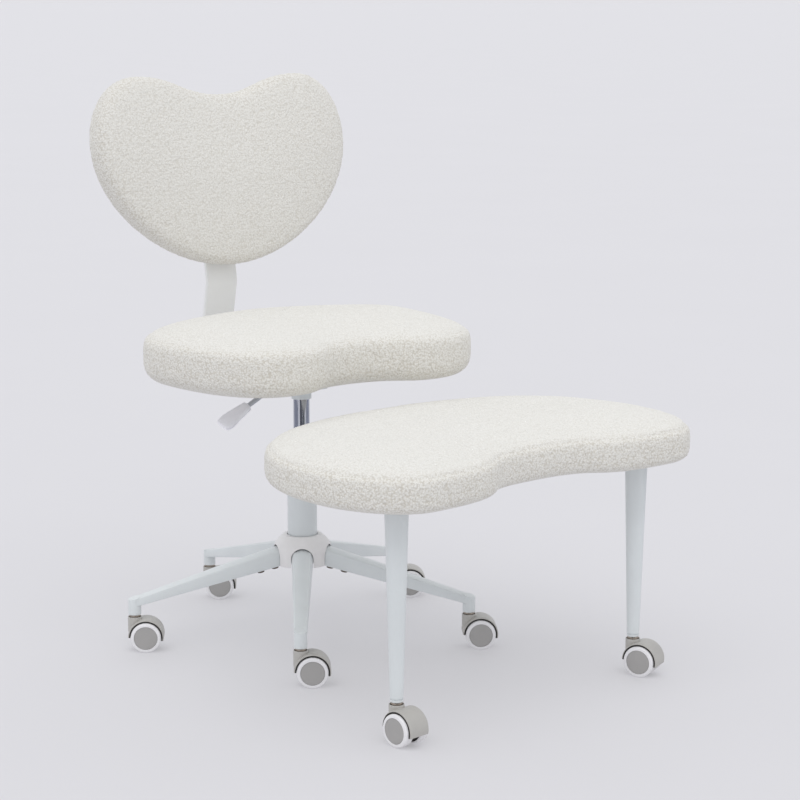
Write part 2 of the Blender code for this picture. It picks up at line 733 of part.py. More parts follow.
def build_gas_lift(swivel):
    plate_top = TUBE_BOTTOM + TUBE_FLOOR
    flange_low = plate_top + FIT_GAP
    clip_high = TUBE_BOTTOM - FIT_GAP
    piston_high = plate_top + ROD_LENGTH
    piston_radius = CYLINDER_INNER - FIT_GAP
    profile = [
        (0.0, clip_high - ROD_FLANGE_HEIGHT),
        (ROD_FLANGE_RADIUS, clip_high - ROD_FLANGE_HEIGHT),
        (ROD_FLANGE_RADIUS, clip_high),
        (ROD_RADIUS, clip_high),
        (ROD_RADIUS, flange_low),
        (ROD_FLANGE_RADIUS, flange_low),
        (ROD_FLANGE_RADIUS, flange_low + ROD_FLANGE_HEIGHT),
        (ROD_RADIUS, flange_low + ROD_FLANGE_HEIGHT),
        (ROD_RADIUS, piston_high - PISTON_HEIGHT),
        (piston_radius, piston_high - PISTON_HEIGHT),
        (piston_radius, piston_high),
        (0.0, piston_high),
    ]
    piece("piston_rod", lathe(profile, ROUND_SIDES), "bright_steel", swivel)
    cylinder = [
        (ROD_BORE, CYLINDER_BOTTOM),
        (CYLINDER_RADIUS, CYLINDER_BOTTOM),
        (CYLINDER_RADIUS, CYLINDER_TOP),
        (BUTTON_BORE, CYLINDER_TOP),
        (BUTTON_BORE, CYLINDER_TOP - CYLINDER_HEAD),
        (CYLINDER_INNER, CYLINDER_TOP - CYLINDER_HEAD),
        (CYLINDER_INNER, CYLINDER_BOTTOM + CYLINDER_GLAND),
        (ROD_BORE, CYLINDER_BOTTOM + CYLINDER_GLAND),
    ]
    piece("gas_cylinder", lathe(cylinder, ROUND_SIDES, closed=True), "chrome", swivel)
    head_low = BUTTON_TOP - BUTTON_HEAD_HEIGHT
    button = [
        (0.0, CYLINDER_TOP - CYLINDER_HEAD),
        (BUTTON_RADIUS, CYLINDER_TOP - CYLINDER_HEAD),
        (BUTTON_RADIUS, head_low),
        (BUTTON_HEAD_RADIUS, head_low),
        (BUTTON_HEAD_RADIUS, BUTTON_TOP),
        (0.0, BUTTON_TOP),
    ]
    piece("release_button", lathe(button, PIN_SIDES), "bright_steel", swivel)


def mechanism_mesh():
    """The seat plate with its housing and the socket for the gas cylinder, cut for the lever and its pin."""
    plate = box(
        (-PLATE_WIDTH / 2, -PLATE_DEPTH / 2, PLATE_UNDER),
        (PLATE_WIDTH / 2, PLATE_DEPTH / 2, MECHANISM_TOP),
    )
    housing_low = PLATE_UNDER - HOUSING_HEIGHT + PLATE_THICKNESS / 2
    rings = []
    for draft, z in ((HOUSING_DRAFT, housing_low), (0.0, PLATE_UNDER + PLATE_THICKNESS / 2)):
        x = HOUSING_WIDTH / 2 - draft
        y = HOUSING_DEPTH / 2 - draft
        rings.append([(-x, -y, z), (x, -y, z), (x, y, z), (-x, y, z)])
    boss = rod(BUSH_BORE + BOSS_WALL, MECHANISM_BOTTOM, PLATE_UNDER - PLATE_THICKNESS)
    body = combined(plate, [loft(rings), boss], "UNION")
    bore = rod(BUSH_BORE, MECHANISM_BOTTOM - BOSS_WALL, SLOT_FLOOR + FIT_GAP)
    slot = box(
        (-HOUSING_WIDTH / 2 - LEVER_SLOT, -LEVER_SLOT / 2, SLOT_FLOOR),
        (LEVER_SLOT, LEVER_SLOT / 2, MECHANISM_TOP + PLATE_THICKNESS),
    )
    pin_reach = LEVER_PIN_LENGTH / 2 + FIT_GAP
    pin_holes = placed(
        rod(LEVER_PIN_RADIUS + FIT_GAP, -pin_reach, pin_reach, PIN_SIDES),
        Matrix.Translation((-LEVER_PIVOT, 0.0, LEVER_HEIGHT)) @ Matrix.Rotation(math.radians(90), 4, "X"),
    )
    return combined(body, [bore, slot, pin_holes], "DIFFERENCE")


def lever_meshes():
    """The release lever's rod and paddle, with the pivot pin on the origin and the arm running out along -X."""
    droop = math.radians(LEVER_DROOP)
    out = Vector((-math.cos(droop), 0.0, -math.sin(droop)))
    side = Vector((0.0, 1.0, 0.0))
    up = side.cross(out)
    bend = Vector((-0.25 * LEVER_PIVOT, 0.0, 0.0))
    path = [Vector((LEVER_PIVOT + LEVER_TAIL, 0.0, 0.0)), bend, bend + out * LEVER_LENGTH]
    middle_up = (up + Vector((0.0, 0.0, 1.0))).normalized()
    frames = [Vector((0.0, 0.0, 1.0)), middle_up, up]
    rings = []
    for point, lift in zip(path, frames):
        ring = []
        for i in range(PIN_SIDES):
            angle = 2 * math.pi * i / PIN_SIDES
            ring.append(point + (side * math.cos(angle) + lift * math.sin(angle)) * LEVER_RADIUS)
        rings.append(ring)
    pin = placed(
        rod(LEVER_PIN_RADIUS, -LEVER_PIN_LENGTH / 2, LEVER_PIN_LENGTH / 2, PIN_SIDES),
        Matrix.Rotation(math.radians(90), 4, "X"),
    )
    arm = combined(loft(rings), [pin], "UNION")

    roll = math.radians(PADDLE_ROLL)
    wide = side * math.cos(roll) + up * math.sin(roll)
    thick = up * math.cos(roll) - side * math.sin(roll)
    stations = ((0.0, PADDLE_NECK, PADDLE_BUTT), (0.35, 0.75 * PADDLE_WIDTH, PADDLE_BUTT))
    stations += ((0.7, PADDLE_WIDTH, PADDLE_THICKNESS), (0.92, 0.95 * PADDLE_WIDTH, 0.8 * PADDLE_THICKNESS))
    stations += ((1.0, 0.7 * PADDLE_WIDTH, 0.5 * PADDLE_THICKNESS),)
    sections = []
    for share, width, thickness in stations:
        centre = bend + out * (PADDLE_START + share * PADDLE_LENGTH)
        ring = []
        for i in range(PIN_SIDES):
            angle = 2 * math.pi * (i + 0.5) / PIN_SIDES
            across = wide * (width / 2 * math.cos(angle))
            ring.append(centre + across + thick * (thickness / 2 * math.sin(angle)))
        sections.append(ring)
    bore_length = LEVER_LENGTH - PADDLE_START + FIT_GAP
    bore = []
    for along in (-LEVER_RADIUS, bore_length):
        centre = bend + out * (PADDLE_START + along)
        ring = []
        for i in range(PIN_SIDES):
            angle = 2 * math.pi * i / PIN_SIDES
            spoke = side * math.cos(angle) + up * math.sin(angle)
            ring.append(centre + spoke * (LEVER_RADIUS + FIT_GAP))
        bore.append(ring)
    paddle = combined(loft(sections), [loft(bore)], "DIFFERENCE")
    return arm, paddle


def build_seat(swivel):
    outline = bean(SEAT_WIDTH, -SEAT_BACK, -SEAT_WIDEST, SEAT_LOBE_FROM_SIDE, SEAT_FRONT, SEAT_NOTCH, SEAT_EASE)
    under = (0.0, 0.0, SEAT_UNDER)
    piece("seat_mechanism", mechanism_mesh(), "painted_steel", swivel)
    piece("seat_board", cushion_board(outline), "plywood", swivel, under)
    padding = cushion(outline, SEAT_SEAM, SEAT_CROWN, SEAT_UNDER_ROUND, SEAT_TOP_ROUND)
    piece("seat_cushion", padding, "boucle", swivel, under)
    lever = pivot("lever_pivot", (-LEVER_PIVOT, 0.0, LEVER_HEIGHT), swivel)
    arm, paddle = lever_meshes()
    piece("lever_rod", arm, "bright_steel", lever)
    piece("lever_paddle", paddle, "lever_plastic", lever)
    return lever


def build_back(swivel):
    """The bent bar from under the seat, and the heart-shaped back on its leaning top."""
    forward = math.tan(math.radians(BAR_LEAN_FORWARD))
    lean = math.tan(math.radians(BACK_LEAN))
    bar_low = SEAT_UNDER - FIT_GAP - BAR_THICKNESS / 2
    knee = (BAR_SETBACK - BAR_KNEE * forward, bar_low + BAR_KNEE)
    top = (knee[0] + (BAR_TOP - BAR_KNEE) * lean, bar_low + BAR_TOP)
    start = PLATE_DEPTH / 2 + BAR_THICKNESS
    corners = [(start, bar_low), (BAR_SETBACK, bar_low), knee, top]
    bar = strip(rounded_path(corners, BAR_BEND), BAR_WIDTH, BAR_THICKNESS)
    piece("back_bar", bar, "painted_steel", swivel)

    foot_rise = BACK_GAP - BAR_KNEE
    tilt = math.radians(BACK_LEAN)
    rear = BAR_THICKNESS / 2 + FIT_GAP
    place = Vector((0.0, knee[0] + foot_rise * lean, knee[1] + foot_rise))
    place += Vector((0.0, -math.cos(tilt), -math.sin(tilt))) * rear
    turn = (math.radians(90) - tilt, 0.0, 0.0)
    outline = bean(BACK_WIDTH, 0.0, BACK_WIDEST, BACK_LOBE_FROM_SIDE, BACK_HEIGHT, BACK_NOTCH, BACK_EASE)
    upright = [(x, -y) for x, y in reversed(outline)]
    shift = len(upright) - 1
    upright = upright[shift:] + upright[:shift]
    piece("back_board", cushion_board(upright), "plywood", swivel, place, turn)
    padding = cushion(upright, BACK_SEAM, BACK_CROWN, BACK_UNDER_ROUND, BACK_TOP_ROUND)
    piece("back_cushion", padding, "boucle", swivel, place, turn)


def swing_arm_mesh():
    """The collar that turns on the column, with the bar that carries the footrest, running out along -Y."""
    collar_profile = [
        (SWING_BORE, SWING_COLLAR_BOTTOM),
        (SWING_OUTER, SWING_COLLAR_BOTTOM),
        (SWING_OUTER, SWING_COLLAR_TOP),
        (SWING_BORE, SWING_COLLAR_TOP),
    ]
    collar = lathe(collar_profile, ROUND_SIDES, closed=True)
    low = SWING_COLLAR_BOTTOM + SWING_COLLAR_HEIGHT / 2
    high = FOOTREST_UNDER - FIT_GAP - SWING_ARM_THICKNESS / 2
    start = SWING_BORE + SWING_COLLAR_WALL / 2
    corners = [(start, low), (SWING_ARM_RISE_START, low), (SWING_ARM_RISE_END, high), (SWING_ARM_REACH, high)]
    bar = strip(rounded_path(corners, SWING_ARM_BEND), SWING_ARM_WIDTH, SWING_ARM_THICKNESS)
    bar = placed(bar, Matrix.Rotation(math.pi, 4, "Z"))
    bore = rod(SWING_BORE, SWING_COLLAR_BOTTOM - SWING_COLLAR_WALL, SWING_COLLAR_TOP + SWING_COLLAR_WALL)
    return combined(combined(collar, [bar], "UNION"), [bore], "DIFFERENCE")


def leg_mesh():
    """A tapering leg, hollow from its top down, with the caster socket in its foot."""
    top = SOCKET_BOTTOM + LEG_LENGTH
    socket_top = SOCKET_BOTTOM + STEM_IN_SOCKET + FIT_GAP
    hollow_low = socket_top + 2 * LEG_WALL
    share = (hollow_low - SOCKET_BOTTOM) / LEG_LENGTH
    hollow_radius = LEG_FOOT_RADIUS + (LEG_TOP_RADIUS - LEG_FOOT_RADIUS) * share - LEG_WALL
    profile = [
        (0.0, socket_top),
        (STEM_BORE, socket_top),
        (STEM_BORE, SOCKET_BOTTOM),
        (LEG_FOOT_RADIUS, SOCKET_BOTTOM),
        (LEG_TOP_RADIUS, top),
        (LEG_TOP_RADIUS - LEG_WALL, top),
        (hollow_radius, hollow_low),
        (0.0, hollow_low),
    ]
    return lathe(profile, ROUND_SIDES)


def build_footrest(root, caster):
    swing = pivot("footrest_swing", (0.0, 0.0, 0.0), root, FOOTREST_TURN)
    outline = bean(
        FOOTREST_WIDTH,
        FOOTREST_NEAR,
        FOOTREST_WIDEST,
        FOOTREST_LOBE_FROM_SIDE,
        FOOTREST_FAR,
        FOOTREST_NOTCH,
        FOOTREST_EASE,
    )
    under = (0.0, 0.0, FOOTREST_UNDER)
    piece("swing_arm", swing_arm_mesh(), "painted_steel", swing)
    piece("footrest_board", cushion_board(outline), "plywood", swing, under)
    padding = cushion(
        outline, FOOTREST_SEAM, FOOTREST_CROWN, FOOTREST_UNDER_ROUND, FOOTREST_TOP_ROUND
    )
    piece("footrest_cushion", padding, "boucle", swing, under)
    leg = leg_mesh()
    spread = FOOTREST_WIDTH / 2 - LEG_FROM_SIDE
    reach = FOOTREST_FAR - LEG_FROM_FAR
    swivels = []
    for i, (name, side) in enumerate((("leg_right", -1), ("leg_left", 1))):
        foot = Vector((side * spread, -reach, 0.0))
        piece(name, leg, "painted_steel", swing, foot)
        trail = FOOTREST_CASTER_TRAILS[i] - 90.0 - FOOTREST_TURN
        swivels.append(add_caster(ARM_COUNT + 1 + i, caster, swing, foot, trail))
    return swing, swivels


def world_box():
    """The lowest and highest corners over every node."""
    bpy.context.view_layer.update()
    corners = []
    for obj in bpy.data.objects:
        if obj.type == "MESH":
            corners += [obj.matrix_world @ vertex.co for vertex in obj.data.vertices]
    low = Vector([min(c[k] for c in corners) for k in range(3)])
    high = Vector([max(c[k] for c in corners) for k in range(3)])
    return low, high


def main():
    clear_scene()
    root = pivot("chair_origin", (0.0, 0.0, 0.0))
    caster = caster_shapes()
    swivels = build_base(root, caster)
    seat_swivel = pivot("seat_swivel", (0.0, 0.0, 0.0), root)
    build_gas_lift(seat_swivel)
    lever = build_seat(seat_swivel)
    build_back(seat_swivel)
    swing, footrest_swivels = build_footrest(root, caster)
    low, high = world_box()
    root.location = (-(low.x + high.x) / 2, -(low.y + high.y) / 2, -low.z)
    bpy.context.view_layer.update()
    for joint in (seat_swivel, lever, swing):
        print("joint", joint.name, [round(v, 5) for v in joint.matrix_world.translation])
    for swivel, axle_line in swivels + footrest_swivels:
        across = axle_line.matrix_world.to_3x3() @ Vector((0.0, 1.0, 0.0))
        print("joint", swivel.name, [round(v, 5) for v in swivel.matrix_world.translation])
        print("joint", axle_line.name, [round(v, 5) for v in axle_line.matrix_world.translation])
        print("axis", axle_line.name, [round(v, 6) for v in across])


main()
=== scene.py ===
"""Dresses the cross-legged office chair: teddy-cloth cushions, painted steel, chrome, casters and a plain studio.

Metres, +Z up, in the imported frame. The chair faces -Y, and angles about the column run from -Y towards +X.
"""

import json
import math

import bmesh
import bpy
import numpy as np
from bmesh.types import BMEdge, BMFace, BMVert
from bpy.props import FloatProperty, FloatVectorProperty, IntProperty, PointerProperty
from mathutils import Matrix, Vector, noise


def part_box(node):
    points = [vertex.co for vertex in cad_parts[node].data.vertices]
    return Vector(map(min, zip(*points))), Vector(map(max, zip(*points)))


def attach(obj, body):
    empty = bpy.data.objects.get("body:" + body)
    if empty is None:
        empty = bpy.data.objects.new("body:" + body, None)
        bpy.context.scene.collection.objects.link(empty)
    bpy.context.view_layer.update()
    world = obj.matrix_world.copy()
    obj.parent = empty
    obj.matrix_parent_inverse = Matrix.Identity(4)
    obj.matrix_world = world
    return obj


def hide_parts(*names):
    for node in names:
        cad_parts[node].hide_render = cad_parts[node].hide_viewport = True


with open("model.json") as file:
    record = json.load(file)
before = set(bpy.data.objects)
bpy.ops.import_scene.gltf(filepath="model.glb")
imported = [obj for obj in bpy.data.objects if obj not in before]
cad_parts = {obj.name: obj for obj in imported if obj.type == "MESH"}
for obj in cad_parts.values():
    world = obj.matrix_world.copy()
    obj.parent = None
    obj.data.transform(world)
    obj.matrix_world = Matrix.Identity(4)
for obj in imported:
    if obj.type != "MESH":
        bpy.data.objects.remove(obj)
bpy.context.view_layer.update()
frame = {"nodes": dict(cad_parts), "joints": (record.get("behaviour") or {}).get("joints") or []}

bl_info = {
    "name": "Cross-legged office chair",
    "version": (1, 0, 0),
    "blender": (4, 5, 0),
    "location": "View3D > Sidebar > Chair",
    "description": "Builds the chair's cushions, steelwork, casters and studio on its packed frame",
    "category": "Object",
}

JOINTS = {joint["name"]: joint for joint in frame["joints"]}
NODES = frame["nodes"]
COLUMN = Vector((*JOINTS["seat_swivel"]["pos_m"][:2], 0.0))
BASE_CASTERS = range(1, 6)
FOOTREST_CASTERS = range(6, 8)
CASTERS = (*BASE_CASTERS, *FOOTREST_CASTERS)
UP, DOWN = Vector((0.0, 0.0, 1.0)), Vector((0.0, 0.0, -1.0))


def swivel_point(number):
    """The point on the floor under a caster's stem."""
    return Vector((*JOINTS[f"caster_{number}_swivel"]["pos_m"][:2], 0.0))


def turn_of(point):
    """The angle of a point about the column, from -Y towards +X."""
    away = point - COLUMN
    return math.atan2(away.x, -away.y)


FOOTREST_TURN = turn_of((swivel_point(6) + swivel_point(7)) / 2)
BASE_TURN = turn_of(swivel_point(1))
SEAT_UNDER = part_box("seat_board")[0].z
FOOTREST_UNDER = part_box("footrest_board")[0].z
TUBE_LOW, TUBE_HIGH = (corner.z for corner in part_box("column_tube"))
SOCKET_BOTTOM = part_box("leg_right")[0].z
BOSS_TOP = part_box("caster_1_hood")[1].z

# Plan of each cushion, within a few millimetres of the part's: the outline's sizes, its handles in the order of the
# curve, its height and roundings, the room left for the air, the depth of its seam and how much painted shade its pits
# take on top
SEAT_PLAN = {
    "width": 0.553, "back": -0.213, "widest": -0.014, "lobe": 0.139, "front": 0.215, "notch": 0.040,
    "ease": (0.40, 0.60, 0.48, 0.78, 0.57, 0.62),
    "seam": 0.075, "crown": 0.0135, "under_round": 0.033, "top_round": 0.031, "room": 0.0030,
    "sewn": 0.75, "open": 0.35,
}
FOOTREST_PLAN = {
    "width": 0.714, "back": 0.174, "widest": 0.455, "lobe": 0.251, "front": 0.6195, "notch": 0.0545,
    "ease": (0.79, 0.45, 0.64, 0.46, 0.80, 0.64),
    "seam": 0.0530, "crown": 0.0105, "under_round": 0.016, "top_round": 0.028, "room": 0.0,
    "sewn": 0.75, "open": 0.35,
}
BACK_PLAN = {
    "width": 0.500, "back": -0.001, "widest": 0.216, "lobe": 0.160, "front": 0.333, "notch": 0.034,
    "ease": (0.46, 0.55, 0.56, 0.56, 0.45, 0.45),
    "seam": 0.060, "crown": 0.008, "under_round": 0.029, "top_round": 0.028, "room": 0.0030,
    "sewn": 0.15, "open": 0.62,
}
CURVE_STEPS, ROUND_STEPS = 40, 8
BOARD_INSET = 0.045
BOARD_THICKNESS = 0.012
POCKET_ROOM = 0.004
FOOTREST_PAD_SHIFT = (-0.0028, 0.0, 0.0)

# Top of a cushion: its rounding is flatter than a circle and starts below the seam, and its crown is drawn towards a
# spine in steps, with its full height from one of them on
TOP_BELOW_SEAM, TOP_FLATNESS, SEAM_ABOVE = 0.4, 0.75, 0.05
SPINE_REACH, CROWN_SHARES, CROWN_FULL = 0.62, (0.08, 0.2, 0.35, 0.5, 0.65, 0.8, 0.94), 0.8

# Cloth: how it is filled, and where it is held as shares of the lower rounding and of the grid
FILL_FRAMES, CLOTH_QUALITY, CLOTH_MASS = 20, 5, 0.4
HELD_UNDER, HELD_AT_SEAM = 0.35, 0.55

# Pile: the height that it starts at, how far its curls stray and fall off, their middle height, and how much a seam
# flattens them and how much painted shade it lays on them. The footrest's side seams are shallower and narrower than
# the seam round the cushions
PILE_START = 0.004
CURL_STRAY, STRAY_SCALE, CURL_FALL, CURL_MIDDLE = 0.45, 0.7, 1.1, 0.35
SEAM_FLATTENS, SEAM_PAINTED_SHADE = 0.5, 0.45
SIDE_SEAM, SIDE_SEAM_DEPTH, SIDE_SEAM_WIDTH = 0.30, 0.4, 0.7

# Arms of the base, from the hub down to the caster's socket, with the shares of their height that are straight and
# round, and the mouths that the cover has for them
ARM_START, ARM_WIDTH, ARM_HEIGHT = 0.0373, 0.036, 0.031
ARM_RISE, ARM_END, ARM_END_WIDTH, ARM_END_HEIGHT = 0.0515, SOCKET_BOTTOM + 0.0147, 0.0208, 0.0135
ARCH_STRAIGHT, ARCH_ROUND = 0.45, 0.55
ARM_SHARES = (0.12, 0.3, 0.6, 1.0)
ARM_BOLTS = (0.050, 0.075)
SOCKET_RADIUS = 0.0106
MOUTH_FROM, MOUTH_DEPTH, MOUTH_WIDTH, MOUTH_BELOW = 0.020, 0.036, 0.038, 0.006

# Casters, with the stem on the Z axis and the axle behind it on +X
CASTER_TRAIL = 0.0184
FENDER_SPAN = 193.0
WHEEL_RADIUS = 0.025
WHEEL_WIDTH = 0.0157
WHEEL_START = 0.0078
SMALL_SIDES, CUP_SIDES = 48, 64
TO_AXLE = Matrix.Translation((CASTER_TRAIL, 0.0, WHEEL_RADIUS)) @ Matrix.Rotation(math.pi / 2, 4, "X")

# Bent bars, as (out, up) corners
BAR_WIDTH = 0.060
BAR_THICKNESS = 0.008
BAR_BEND = 0.030
BAR_GAP = 0.0003
BAR_LOW = SEAT_UNDER - BAR_GAP - BAR_THICKNESS / 2
BAR_START, BAR_OUT, BAR_RISE, BAR_TILT = 0.083, 0.2815, 0.133, math.radians(12.0)
BAR_KNEE = Vector((BAR_OUT - BAR_RISE * math.tan(BAR_TILT), BAR_LOW + BAR_RISE))
BACK_LEAN = math.radians(10.0)
BACK_PAD_LEAN = math.radians(8.8)
BACK_PAD_GAP = 0.0028
UP_THE_BACK = Vector((math.tan(BACK_LEAN), 1.0))
BAR_TOP = BAR_KNEE + UP_THE_BACK * 0.212
BACK_FOOT = Vector((0.0, *(BAR_KNEE + UP_THE_BACK * 0.027)))
SWING_START, SWING_RISE_FROM, SWING_RISE_TO, SWING_END = 0.0285, 0.085, 0.200, 0.450
SWING_WIDTH = 0.045

# Bolts: their heads, with shares of the radius and the height, how far they are to each side, and where along the bar
# or the plate
BOLT_HEIGHT, ARM_BOLT_HEIGHT = 0.0034, 0.0062
RECESS_INSET, RECESS_DEPTH, BOLT_EDGE = 0.45, 0.6, 0.12
BAR_BOLT_SIDE, BACK_BOLTS, UNDER_SEAT_BOLTS = 0.018, (0.070, 0.165), (0.115, 0.160)
SWING_BOLT_SIDE, SWING_BOLTS = 0.012, (0.250, 0.420)
PLATE_BOLT_SIDE, PLATE_BOLTS, PLATE_THICKNESS = 0.070, (-0.060, 0.060), 0.004

# Lever: a rod on a pin, with a bend past the pin and a handle beyond the bend. The handle and the lip under it are
# given as shares of the handle's length, widths and thicknesses
LEVER_INSIDE, LEVER_BEND, LEVER_EASE, LEVER_LENGTH = 0.032, 0.0075, 0.008, 0.110
LEVER_DROOP, HANDLE_ROLL = math.radians(28.0), math.radians(23.0)
ROD_RADIUS, PIN_RADIUS, PIN_HALF, ROD_SIDES = 0.004, 0.003, 0.012, 32
HANDLE_SIDES, HANDLE_SQUARENESS = 40, 0.35
HANDLE_FROM, HANDLE_LENGTH, LIP_DROP = 0.077, 0.0575, 0.0062
HANDLE_SHAPE = ((0.0, 0.0150, 0.0110), (0.03, 0.0178, 0.0128), (0.16, 0.0205, 0.0130), (0.35, 0.0245, 0.0128),
                (0.55, 0.0290, 0.0108), (0.74, 0.0318, 0.0090), (0.88, 0.0312, 0.0080), (0.96, 0.0276, 0.0064),
                (1.0, 0.0225, 0.0044))
LIP_SHAPE = ((0.50, 0.0150, 0.0030), (0.58, 0.0225, 0.0044), (0.74, 0.0270, 0.0050), (0.88, 0.0262, 0.0048),
             (0.97, 0.0215, 0.0030))

# Cards that polished metal reflects, each with its bearing off the camera's, its span and its shade
CARDS = (("left", -120.0, 74.0, 0.34), ("middle", -23.0, 52.0, 0.10), ("inner", 29.0, 13.0, 0.05),
         ("right", 64.0, 56.0, 0.36))
CARD_RADIUS, CARD_LOW, CARD_HIGH = 1.4, 0.03, 1.4
KEY_FROM, KEY_SPREAD, KEY_COLOUR = Vector((-0.45, -0.50, 1.5)), math.radians(60.0), (1.0, 0.985, 0.96)
ROOM_COLOUR = (0.95, 0.965, 1.0, 1.0)
FLOOR_REACH = 2000.0
SENSOR_WIDTH = 36.0

# What lengths and colours share in the settings
METRES = dict(subtype="DISTANCE", unit="LENGTH")
COLOUR = dict(subtype="COLOR", min=0.0, max=1.0)


class FabricSettings(bpy.types.PropertyGroup):
    """Padding and teddy cloth."""

    voxel: FloatProperty(name="Cloth grid", description="Grid of the padded shape before it is inflated",
                         default=0.006, min=0.004, **METRES)
    pressure: FloatProperty(name="Pressure", description="Air pressure that fills the covers", default=4.0)
    swell: FloatProperty(name="Swell", description="Furthest that the padding moves when it fills the cover",
                         default=0.006, **METRES)
    seam_depth: FloatProperty(name="Seam depth", description="Depth of the sewn seams", default=0.0036, **METRES)
    seam_width: FloatProperty(name="Seam width", description="Half width of a seam's valley",
                              default=0.0036, **METRES)
    curl_size: FloatProperty(name="Curl size", description="Spacing of the pile's curls", default=0.0040, **METRES)
    curl_height: FloatProperty(name="Curl height", description="Height of the pile's curls", default=0.0016, **METRES)
    light: FloatVectorProperty(name="Tips", description="Colour at the tips of the curls",
                               default=(0.80, 0.787, 0.743), **COLOUR)
    # Painted shade: the colour that the pits between the curls take
    shade: FloatVectorProperty(name="Roots", description="Colour between the curls",
                               default=(0.615, 0.583, 0.517), **COLOUR)


class MetalSettings(bpy.types.PropertyGroup):
    """Painted and plated steel."""

    edge: FloatProperty(name="Edge round", description="Rounding of the steel's edges", default=0.0012, **METRES)
    sides: IntProperty(name="Round sides", description="Sides of the turned pieces", default=72, min=16)
    bolt_radius: FloatProperty(name="Bolt radius", description="Radius of the bolt heads", default=0.0060, **METRES)
    paint: FloatVectorProperty(name="Paint", description="Colour of the powder coat",
                               default=(0.715, 0.748, 0.755), **COLOUR)
    bar: FloatVectorProperty(name="Back bar", description="Colour of the coat on the bar of the back",
                             default=(0.87, 0.873, 0.858), **COLOUR)
    chrome: FloatVectorProperty(name="Chrome", description="Tint of the chromed cylinder",
                                default=(0.62, 0.64, 0.69), **COLOUR)
    steel: FloatVectorProperty(name="Bare steel", description="Tint of bolts, stems and rods",
                               default=(0.50, 0.43, 0.36), **COLOUR)


class PlasticSettings(bpy.types.PropertyGroup):
    """Moulded plastic."""

    edge: FloatProperty(name="Edge round", description="Rounding of the mouldings' edges", default=0.0008, **METRES)
    cap_radius: FloatProperty(name="Wheel cap radius", description="Radius of the disc in each wheel",
                              default=0.0192, **METRES)
    cover: FloatVectorProperty(name="Hub cover", description="Colour of the hub cover",
                               default=(0.82, 0.805, 0.80), **COLOUR)
    hood: FloatVectorProperty(name="Caster hood", description="Colour of the caster hoods",
                              default=(0.475, 0.462, 0.435), **COLOUR)
    cap: FloatVectorProperty(name="Wheel cap", description="Colour of the wheel caps",
                             default=(0.39, 0.38, 0.37), **COLOUR)
    tyre: FloatVectorProperty(name="Tyre", description="Colour of the treads", default=(0.84, 0.83, 0.84), **COLOUR)
    # Painted shade: near-black colour for the strips inside the caster hoods and the discs inside the wheels, where the
    # gaps are in shade
    painted_shade: FloatVectorProperty(name="Fender lining", description="Colour inside the caster hoods",
                               default=(0.030, 0.027, 0.024), **COLOUR)
    lever: FloatVectorProperty(name="Lever", description="Colour of the lever's paddle",
                               default=(0.93, 0.925, 0.97), **COLOUR)
    bush: FloatVectorProperty(name="Bush", description="Colour of the column's bush",
                              default=(0.74, 0.75, 0.75), **COLOUR)


class StageSettings(bpy.types.PropertyGroup):
    """Camera, light and floor."""

    eye: FloatVectorProperty(name="Camera", description="Place of the camera",
                             default=(-2.0396, -2.8886, 1.0660), subtype="TRANSLATION", unit="LENGTH")
    heading: FloatProperty(name="Heading", description="Direction of the view, from +Y towards +X",
                           default=math.radians(35.746), subtype="ANGLE", unit="ROTATION")
    pitch: FloatProperty(name="Pitch", description="How far the camera looks down",
                         default=math.radians(10.288), subtype="ANGLE", unit="ROTATION")
    lens: FloatProperty(name="Lens", description="Focal length in millimetres", default=99.093)
    floor: FloatVectorProperty(name="Floor", description="Colour of the floor",
                               default=(0.64, 0.635, 0.658), **COLOUR)
    glow: FloatProperty(name="Floor glow", description="Share of the floor's light that comes through it", default=0.4)
    far: FloatProperty(name="Far room", description="Brightness of the room behind the floor", default=1.256)
    key: FloatProperty(name="Key light", description="Strength of the soft light from above", default=0.72)
    fill: FloatProperty(name="Room light", description="Strength of the light from all round", default=0.95)


class ChairSettings(bpy.types.PropertyGroup):
    """All the settings of the chair."""

    fabric: PointerProperty(type=FabricSettings)
    metal: PointerProperty(type=MetalSettings)
    plastic: PointerProperty(type=PlasticSettings)
    stage: PointerProperty(type=StageSettings)


class Wire:
    """A socket that carries a value or a colour. Sums on it add Math nodes to its material."""

    def __init__(self, socket):
        self.socket = socket

    @classmethod
    def node(cls, tree, kind, settings=None, inputs=None, output=0):
        """Adds a node of a kind, with its settings first and then its sockets, and gives one of its outputs."""
        made = tree.nodes.new(kind)
        for name, value in (settings or {}).items():
            if name == "stops":
                elements = made.color_ramp.elements
                while len(elements) < len(value):
                    elements.new(1.0)
                for element, (place, shade) in zip(elements, value):
                    element.position = place
                    element.color = (shade, shade, shade, 1.0)
            else:
                setattr(made, name, value)
        for name, value in (inputs or {}).items():
            if isinstance(value, cls):
                tree.links.new(value.socket, made.inputs[name])
            else:
                made.inputs[name].default_value = value
        return cls(made.outputs[output])

    def sum(self, operation, first, second):
        """A Math node on two wires or numbers."""
        return self.node(self.socket.id_data, "ShaderNodeMath", {"operation": operation}, {0: first, 1: second})

    def __add__(self, other):
        return self.sum("ADD", self, other)

    def __radd__(self, other):
        return self.sum("ADD", other, self)

    def __sub__(self, other):
        return self.sum("SUBTRACT", self, other)

    def __rsub__(self, other):
        return self.sum("SUBTRACT", other, self)

    def __mul__(self, other):
        return self.sum("MULTIPLY", self, other)

    def __rmul__(self, other):
        return self.sum("MULTIPLY", other, self)


def opaque(colour, scale=1.0):
    """A colour with its alpha, made darker or lighter by the scale."""
    return (*(min(channel * scale, 1.0) for channel in colour), 1.0)


def blend(tree, factor, first, second):
    """A colour between two, by a wire that runs from 0 to 1."""
    return Wire.node(tree, "ShaderNodeMix", {"data_type": "RGBA"}, {0: factor, 6: first, 7: second}, 2)


